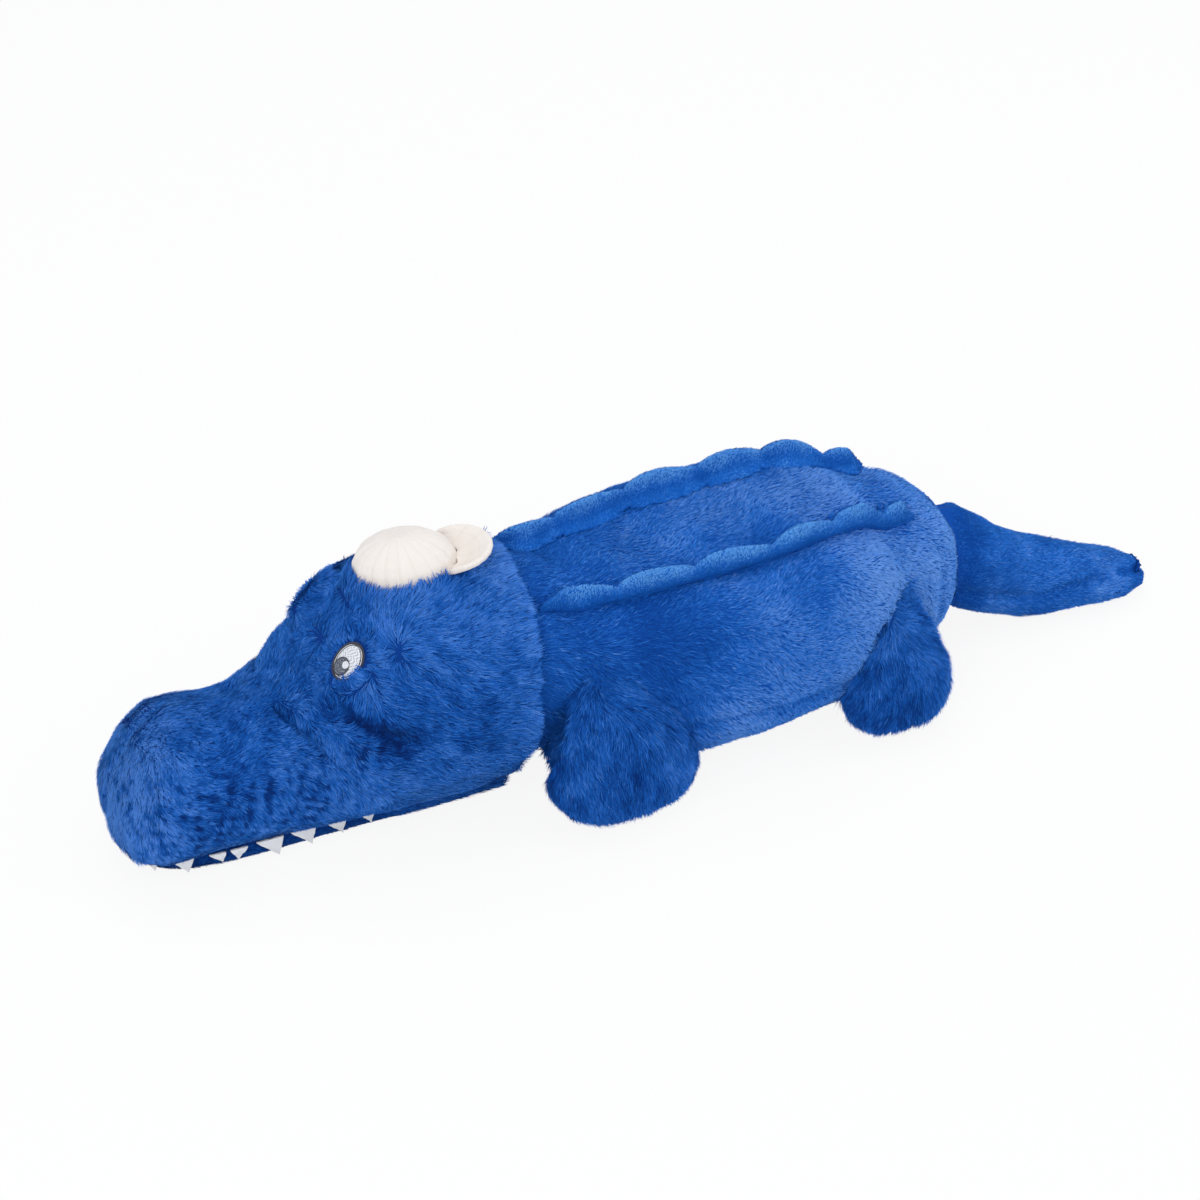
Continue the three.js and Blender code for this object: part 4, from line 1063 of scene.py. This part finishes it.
def ridge_form(name, node, side, torso):
    """A row of puffed lobes along a seam of the back: steep outside, and flared toward the middle."""
    tree = surface_of(torso)
    places, _, _ = arrays_of(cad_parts[node])
    aside = np.polynomial.Polynomial.fit(places[:, 0], np.abs(places[:, 1]), 5)
    turns = np.linspace(0, len(RIDGE_LOBES) - 1, 16 * (len(RIDGE_LOBES) - 1) + 1)

    def ground(x, y):
        return tree.ray_cast(Vector((x, y, 0.3)), Vector((0, 0, -1)))[0].z

    points = []
    for turn in turns:
        x = float(np.interp(turn, range(len(RIDGE_LOBES)), RIDGE_LOBES))
        middle = float(aside(max(x, -0.128))) + (0.003 if side > 0 else 0)
        lobe = (turn % 1) ** 0.8
        wave = abs(math.sin(math.pi * lobe)) ** 0.8
        end = min(1, 0.25 + 1.9 * min(turn, turns[-1] - turn))
        tall, wide = (0.0115 + 0.0075 * wave) * end, (0.0042 + 0.0020 * wave) * end
        crest = ground(x, side * (middle - 0.001)) + tall
        low, high = [], []
        for out, rise in RIDGE_OUTLINE:
            y = side * (middle + 0.0015 + out * wide)
            foot = ground(x, y)
            low.append((x, y, foot + 0.0006))
            high.append((x, y, max(foot + 0.0012, foot * (1 - rise) + crest * rise)))
        points += low + high[::-1]
    size = 2 * len(RIDGE_OUTLINE)
    faces = [(r * size + k, r * size + (k + 1) % size,
              (r + 1) * size + (k + 1) % size, (r + 1) * size + k)
             for r in range(len(turns) - 1) for k in range(size)]
    faces += [tuple(range(size))[::-1], tuple(range(len(points) - size, len(points)))]
    mesh = bpy.data.meshes.new(name)
    mesh.from_pydata(points, [], faces)
    obj = bpy.data.objects.new(name, mesh)
    bpy.context.scene.collection.objects.link(obj)
    alone(obj)
    bpy.ops.object.mode_set(mode="EDIT")
    bpy.ops.mesh.select_all(action="SELECT")
    bpy.ops.mesh.normals_make_consistent(inside=False)
    bpy.ops.object.mode_set(mode="OBJECT")
    apply(obj, "REMESH", mode="VOXEL", voxel_size=0.0010)
    apply(obj, "SMOOTH", factor=0.5, iterations=8)
    bpy.ops.object.shade_smooth()
    return obj


class CROC_OT_ridges(bpy.types.Operator):
    """The two scalloped ridges along the back, puffed between the stitches"""
    bl_idname = "croc.ridges"
    bl_label = "Ridges"

    def execute(self, context):
        sizes = context.scene.pile_sizes
        torso = bpy.data.objects["torso_plush"]
        tree = surface_of(torso)
        for k, (side_name, side) in enumerate(SIDES.items()):
            node = f"back_ridge_{side_name}"
            ridge = ridge_form(f"ridge_plush_{side_name}", node, side, torso)
            settle(ridge, "torso", "satin_pile", "satin_backing", 0.5, node)
            streak = Ripples(91 + k, 0.02)

            def shade(points, normals):
                # Painted highlight on the crests and on faces turned up, and painted shade in the folds
                rise = np.array([tree.find_nearest(point)[3] for point in points.tolist()])
                return (0.36 + 0.50 * smooth(rise, 0.005, 0.016) + 0.10 * normals[:, 2]
                        + 0.09 * streak.at(points))

            grow(f"ridge_pile_{side_name}", ridge, "torso", SATIN, 95 + k, 0.4,
                 lambda p, n: sizes.ridge, lambda p, n: ways(0.5 + 0 * p[:, 0], 0, 0.8), shade,
                 lambda p, n: n[:, 2] > -0.5)
        return {"FINISHED"}


class CROC_OT_cap(bpy.types.Operator):
    """The little cotton cap: a grooved crown and a brim with a rolled and stitched hem"""
    bl_idname = "croc.cap"
    bl_label = "Cap"

    def execute(self, context):
        crown = formed("cap_crown_cotton", ["cap_crown"], voxel=0.0009, inset=0.0, rounds=4)
        places, normals, _ = arrays_of(crown)
        forward, side, up = head_places(places)
        rise = ((up - CAP_MIDDLE.z) / CAP_HALVES.z).clip(0, 1)
        x = -forward - CAP_MIDDLE.x - CAP_LEAN[0] * rise
        y = side - CAP_MIDDLE.y - CAP_LEAN[1] * rise
        turn = np.arctan2(y / CAP_HALVES.y, x / CAP_HALVES.x)
        even = 1 / (1 + 0.035 * np.cos(12 * turn)) - 1
        push = np.stack([x * even, y * even, 0 * x], 1) @ np.array(HEAD_PLACE.to_3x3()).T
        groove = 0.00022 * (0.5 + 0.5 * np.cos(CAP_RIBS * turn)) ** 9
        groove = groove * smooth(np.hypot(x, y), 0.002, 0.009)
        set_places(crown, places + push - normals * groove[:, None])
        apply(crown, "SMOOTH", factor=0.5, iterations=2)
        settle(crown, "head", "cream_cotton", "ribbed_cotton", 0.8, "cap_crown")
        brim = formed("cap_brim_cotton", ["cap_brim", "cap_hem"], voxel=0.0009, inset=0.0, rounds=5)

        def along_brim(share):
            """A line along the brim, at a share of the way from its foot to its edge."""
            edge = []
            for step in np.linspace(0.04, 0.96, 24):
                angle = math.radians(-54 + 94 * step)
                wide = math.sin(math.pi * step) ** 0.6
                out = (0.021 * wide + 0.004) * share
                edge.append(HEAD_PLACE @ (CAP_MIDDLE + Vector((
                    (0.028 + out) * math.cos(angle), (0.020 + out) * math.sin(angle),
                    0.003 + 0.006 * share ** 1.6 * (0.4 + 0.6 * wide)))))
            return laid(brim, edge)

        stitches, cup = along_brim(0.80), along_brim(0.50)
        press(brim, [Fold(stitches, 0.0007, 0.0006, 0)])
        places, _, _ = arrays_of(brim)
        places[:, 2] -= 0.0022 * np.exp(-(near_line(places, cup) / 0.0058) ** 2)
        set_places(brim, places)
        settle(brim, "head", "cream_cotton", "ribbed_cotton", 0.5, "cap_brim", "cap_hem")
        return {"FINISHED"}


def stitched(eye, rows, wide, arch, lift):
    """Arched strips of thread over an eye; each row has the u and v of its two ends."""
    rows = np.array(rows)
    start, end = rows[:, :2], rows[:, 2:]
    run = unit(end - start)
    side = np.stack([-run[:, 1], run[:, 0]], 1) * wide / 2
    lines = []
    for t in np.linspace(0, 1, 5):
        middle = start + (end - start) * t
        taper = 1 - 0.35 * abs(2 * t - 1) ** 3
        for share, crest in ((-1, 0), (0, 0.35 * wide), (1, 0)):
            u, v = (middle + side * share * taper).T
            lines.append(eye.lie(u, v, lift + arch * math.sin(math.pi * t) ** 0.5 + crest * taper))
    corner = [(3 * s + c, 3 * s + c + 1, 3 * s + c + 4, 3 * s + c + 3) for s in range(4) for c in (0, 1)]
    faces = np.arange(len(rows))[:, None, None] * 15 + np.array(corner)
    return np.stack(lines, 1).reshape(-1, 3), faces.reshape(-1, 4)


def filled(middle, halves, pitch, step, draw, upright=False):
    """Rows of short stitches that fill an oval, with small gaps between them."""
    rows = []
    chord, span = halves[::-1] if upright else halves
    for level in np.arange(pitch / 2 - span, span, pitch):
        reach = chord * math.sqrt(1 - (level / span) ** 2)
        start, end = -reach, -reach + step * draw.uniform(0.2, 1.0)
        while start < reach - 0.0004:
            end = min(end, reach)
            ends = [(start, level), (end - 0.0002, level)]
            if upright:
                ends = [spot[::-1] for spot in ends]
            rows.append([middle[axis] + spot[axis] for spot in ends for axis in (0, 1)])
            start, end = end, end + step * draw.uniform(0.8, 1.2)
    return rows


def ringed(middle, halves, band, count, skew=0.03):
    """Short stitches across the edge of an oval; band gives their length by the angle."""
    rows = []
    for angle in np.linspace(0, 2 * math.pi, count, endpoint=False):
        near = [half - band(angle) for half in halves]
        rows.append([middle[0] + near[0] * math.cos(angle + skew),
                     middle[1] + near[1] * math.sin(angle + skew),
                     middle[0] + halves[0] * math.cos(angle),
                     middle[1] + halves[1] * math.sin(angle)])
    return rows


def traced(middle, halves, count):
    """Stitches that follow the edge of an oval, end to end."""
    turns = np.linspace(0, 2 * math.pi, count + 1)
    spots = [(middle[0] + halves[0] * math.cos(turn), middle[1] + halves[1] * math.sin(turn))
             for turn in turns]
    return [[*start, *end] for start, end in zip(spots, spots[1:])]


class CROC_OT_eyes(bpy.types.Operator):
    """The embroidered eyes: a black satin outline, a pale line, white rows and a grey pupil"""
    bl_idname = "croc.eyes"
    bl_label = "Eyes"

    def execute(self, context):
        a, b = EYE_HALVES
        pupil, glint = (-0.0018, -0.0050), (0.0006, -0.0026)

        def band(angle):
            """The outline is heavier toward the brow."""
            return 0.0012 + 0.0013 * math.exp(-((angle - 1.7) / 0.7) ** 2)

        for k, side_name in enumerate(SIDES):
            eye = Eye(side_name)
            draw = np.random.default_rng(101 + k)
            layers = {
                ("eye_black", "eye_outline", "black_thread", "black_stitches"): (
                    (ringed((0, 0), (a, b), band, 170), 0.0006, 0.00030, 0.0),
                    (filled((0, 0), (a - 0.0008, b - 0.0008), 0.0007, 0.03, draw),
                     0.0010, 0.0, -0.0004),
                    (ringed(pupil, (0.0056, 0.0064), lambda t: 0.0010, 60), 0.0005, 0.0001, 0.00045),
                ),
                ("eye_pale", "eye_white", "pale_thread", "pale_stitches"): (
                    (filled((0, 0), (a - 0.0026, b - 0.0026), 0.00052, 0.0026, draw),
                     0.00056, 0.00010, 0.0),
                    (traced((0, 0), (a - 0.0018, b - 0.0018), 40), 0.0005, 0.00015, 0.0001),
                    (filled(glint, (0.0024, 0.0024), 0.00044, 0.0060, draw), 0.00056, 0.0001, 0.0008),
                ),
                ("eye_grey", "eye_pupil", "grey_thread", "grey_stitches"): (
                    (filled(pupil, (0.0048, 0.0056), 0.0005, 0.0028, draw, True),
                     0.00048, 0.0001, 0.0004),
                ),
            }
            for (name, node, slot, finish), sewing in layers.items():
                points, faces = [], []
                for rows, wide, arch, lift in sewing:
                    more, corners = stitched(eye, rows, wide, arch, lift)
                    faces += (corners + sum(map(len, points))).tolist()
                    points.append(more)
                mesh = bpy.data.meshes.new(name)
                mesh.from_pydata(np.concatenate(points).tolist(), [], faces)
                obj = bpy.data.objects.new(f"{name}_{side_name}", mesh)
                context.scene.collection.objects.link(obj)
                alone(obj)
                bpy.ops.object.shade_smooth()
                settle(obj, "head", slot, finish, None, f"{node}_{side_name}")
        return {"FINISHED"}


# How far the foot of a tooth leans out, and how much taller it is; the first is at the nose
TOOTH_LEAN = {7: 0.0040, 8: 0.0055, 9: 0.0065}
TOOTH_RISE = {1: 0.30, 7: 0.25, 8: 0.45, 9: 0.70}
USUAL_LEAN, USUAL_RISE = 0.0030, 0.15
SNOUT_MIDDLE = 215  # millimetres forward, from where the teeth fan out round the nose


class CROC_OT_teeth(bpy.types.Operator):
    """The felt teeth, each cut from pressed felt with soft edges"""
    bl_idname = "croc.teeth"
    bl_label = "Teeth"

    def execute(self, context):
        for side_name, number in itertools.product(SIDES, TEETH):
            node = f"tooth_{side_name}_{number}"
            tooth = formed(f"felt_{node}", [node], voxel=0.0005, inset=0.0, rounds=3)
            places, _, _ = arrays_of(tooth)
            middle = places.mean(0)
            forward = head_places(middle[None])[0][0] / MM
            out = unit(middle * (1, 1, 0) - np.array(on_head(min(forward, SNOUT_MIDDLE), 0, 0)))
            lean, tip = TOOTH_LEAN.get(number, USUAL_LEAN), places[:, 2].min()
            places += out * lean * smooth(places[:, 2], tip, 0.016)[:, None]
            places[:, 2] += TOOTH_RISE.get(number, USUAL_RISE) * (places[:, 2] - tip)
            set_places(tooth, places)
            lump(tooth, 110 + number, 0.006, 0.00012)
            settle(tooth, "head", "white_felt", "pressed_felt", None, node)
        return {"FINISHED"}


class CROC_OT_stage(bpy.types.Operator):
    """The floor, the lights, the white surroundings and the camera"""
    bl_idname = "croc.stage"
    bl_label = "Stage"

    def execute(self, context):
        studio = context.scene.studio
        bpy.ops.object.select_all(action="DESELECT")
        bpy.ops.mesh.primitive_plane_add(size=24, location=(0, 0, -0.0005))
        floor = context.active_object
        floor.name = "floor"
        floor.data.transform(floor.matrix_world)
        floor.matrix_world = Matrix.Identity(4)
        finish = Finish("white_floor", Roughness=1.0, Specular_IOR_Level=0.0)
        finish.feed(Base_Color=rgba((0.9, 0.9, 0.9)))
        plain = finish.tree.nodes["Principled BSDF"]
        lit = finish.node("Emission", Color=rgba((1, 1, 1)), Strength=1.0)
        matt = Wire(finish.tree, plain.outputs[0])
        clear = finish.node("MixShader", in_0=0.9, in_1=matt, in_2=lit)
        seen = finish.node("LightPath", output="Is Camera Ray")
        glossy = finish.node("LightPath", output="Is Glossy Ray")
        both = finish.node("MixShader", in_0=seen + glossy, in_1=matt, in_2=clear)
        finish.tree.links.new(both.socket, finish.tree.nodes["Material Output"].inputs["Surface"])
        floor.data.materials.append(finish.material)
        world = bpy.data.worlds.new("studio")
        context.scene.world = world
        world.use_nodes = True
        tree = world.node_tree
        dim, white = tree.nodes["Background"], tree.nodes.new("ShaderNodeBackground")
        dim.inputs["Color"].default_value = rgba((0.93, 0.96, 1.0))
        dim.inputs["Strength"].default_value = studio.sky
        white.inputs["Color"].default_value = rgba((1, 1, 1))
        path = tree.nodes.new("ShaderNodeLightPath")
        either = Wire(tree, path.outputs["Is Camera Ray"]) + Wire(tree, path.outputs["Is Glossy Ray"])
        blend = tree.nodes.new("ShaderNodeMixShader")
        tree.links.new(either.socket, blend.inputs[0])
        tree.links.new(dim.outputs[0], blend.inputs[1])
        tree.links.new(white.outputs[0], blend.inputs[2])
        tree.links.new(blend.outputs[0], tree.nodes["World Output"].inputs["Surface"])
        for name, place, size, power in (
            ("key", (-1.5, -1.3, 1.6), 1.4, studio.key),
            ("fill", (1.7, -0.9, 1.0), 1.4, studio.fill),
            ("top", (0.1, 0.7, 2.2), 1.8, studio.top),
        ):
            lamp = bpy.data.lights.new(name, "AREA")
            lamp.size = size
            lamp.energy = power
            light = bpy.data.objects.new(name, lamp)
            light.location = place
            aim = Vector((0, 0, 0.08)) - light.location
            light.rotation_mode = "QUATERNION"
            light.rotation_quaternion = aim.to_track_quat("-Z", "Y")
            context.scene.collection.objects.link(light)
        back = toward_camera(studio)
        lens = bpy.data.cameras.new("camera")
        lens.lens = studio.lens
        camera = bpy.data.objects.new("camera", lens)
        camera.location = VIEW_MIDDLE + back * studio.distance
        camera.rotation_mode = "QUATERNION"
        camera.rotation_quaternion = (-back).to_track_quat("-Z", "Y")
        context.scene.collection.objects.link(camera)
        context.scene.camera = camera
        context.scene.view_settings.view_transform = "Standard"
        return {"FINISHED"}


class CROC_PT_sidebar(bpy.types.Panel):
    """The sizes, the colours and the steps of making"""
    bl_label = "Plush crocodile"
    bl_space_type = "VIEW_3D"
    bl_region_type = "UI"
    bl_category = "Crocodile"

    def draw(self, context):
        for group in (context.scene.plush_colours, context.scene.pile_sizes, context.scene.studio):
            for name in group.bl_rna.properties.keys():
                if name not in ("rna_type", "name"):
                    self.layout.prop(group, name)
        for step in STEPS:
            self.layout.operator(step.bl_idname)


STEPS = (CROC_OT_torso, CROC_OT_head, CROC_OT_tail, CROC_OT_legs, CROC_OT_ridges, CROC_OT_cap,
         CROC_OT_eyes, CROC_OT_teeth, CROC_OT_stage)
GROUPS = (PlushColours, PileSizes, Studio)


def register():
    for kind in (*GROUPS, *STEPS, CROC_PT_sidebar):
        bpy.utils.register_class(kind)
    bpy.types.Scene.plush_colours = PointerProperty(type=PlushColours)
    bpy.types.Scene.pile_sizes = PointerProperty(type=PileSizes)
    bpy.types.Scene.studio = PointerProperty(type=Studio)


def unregister():
    for name in ("plush_colours", "pile_sizes", "studio"):
        delattr(bpy.types.Scene, name)
    for kind in (CROC_PT_sidebar, *STEPS, *GROUPS):
        bpy.utils.unregister_class(kind)


def main():
    register()
    for step in STEPS:
        family, name = step.bl_idname.split(".")
        getattr(getattr(bpy.ops, family), name)()


if __name__ == "__main__":
    main()
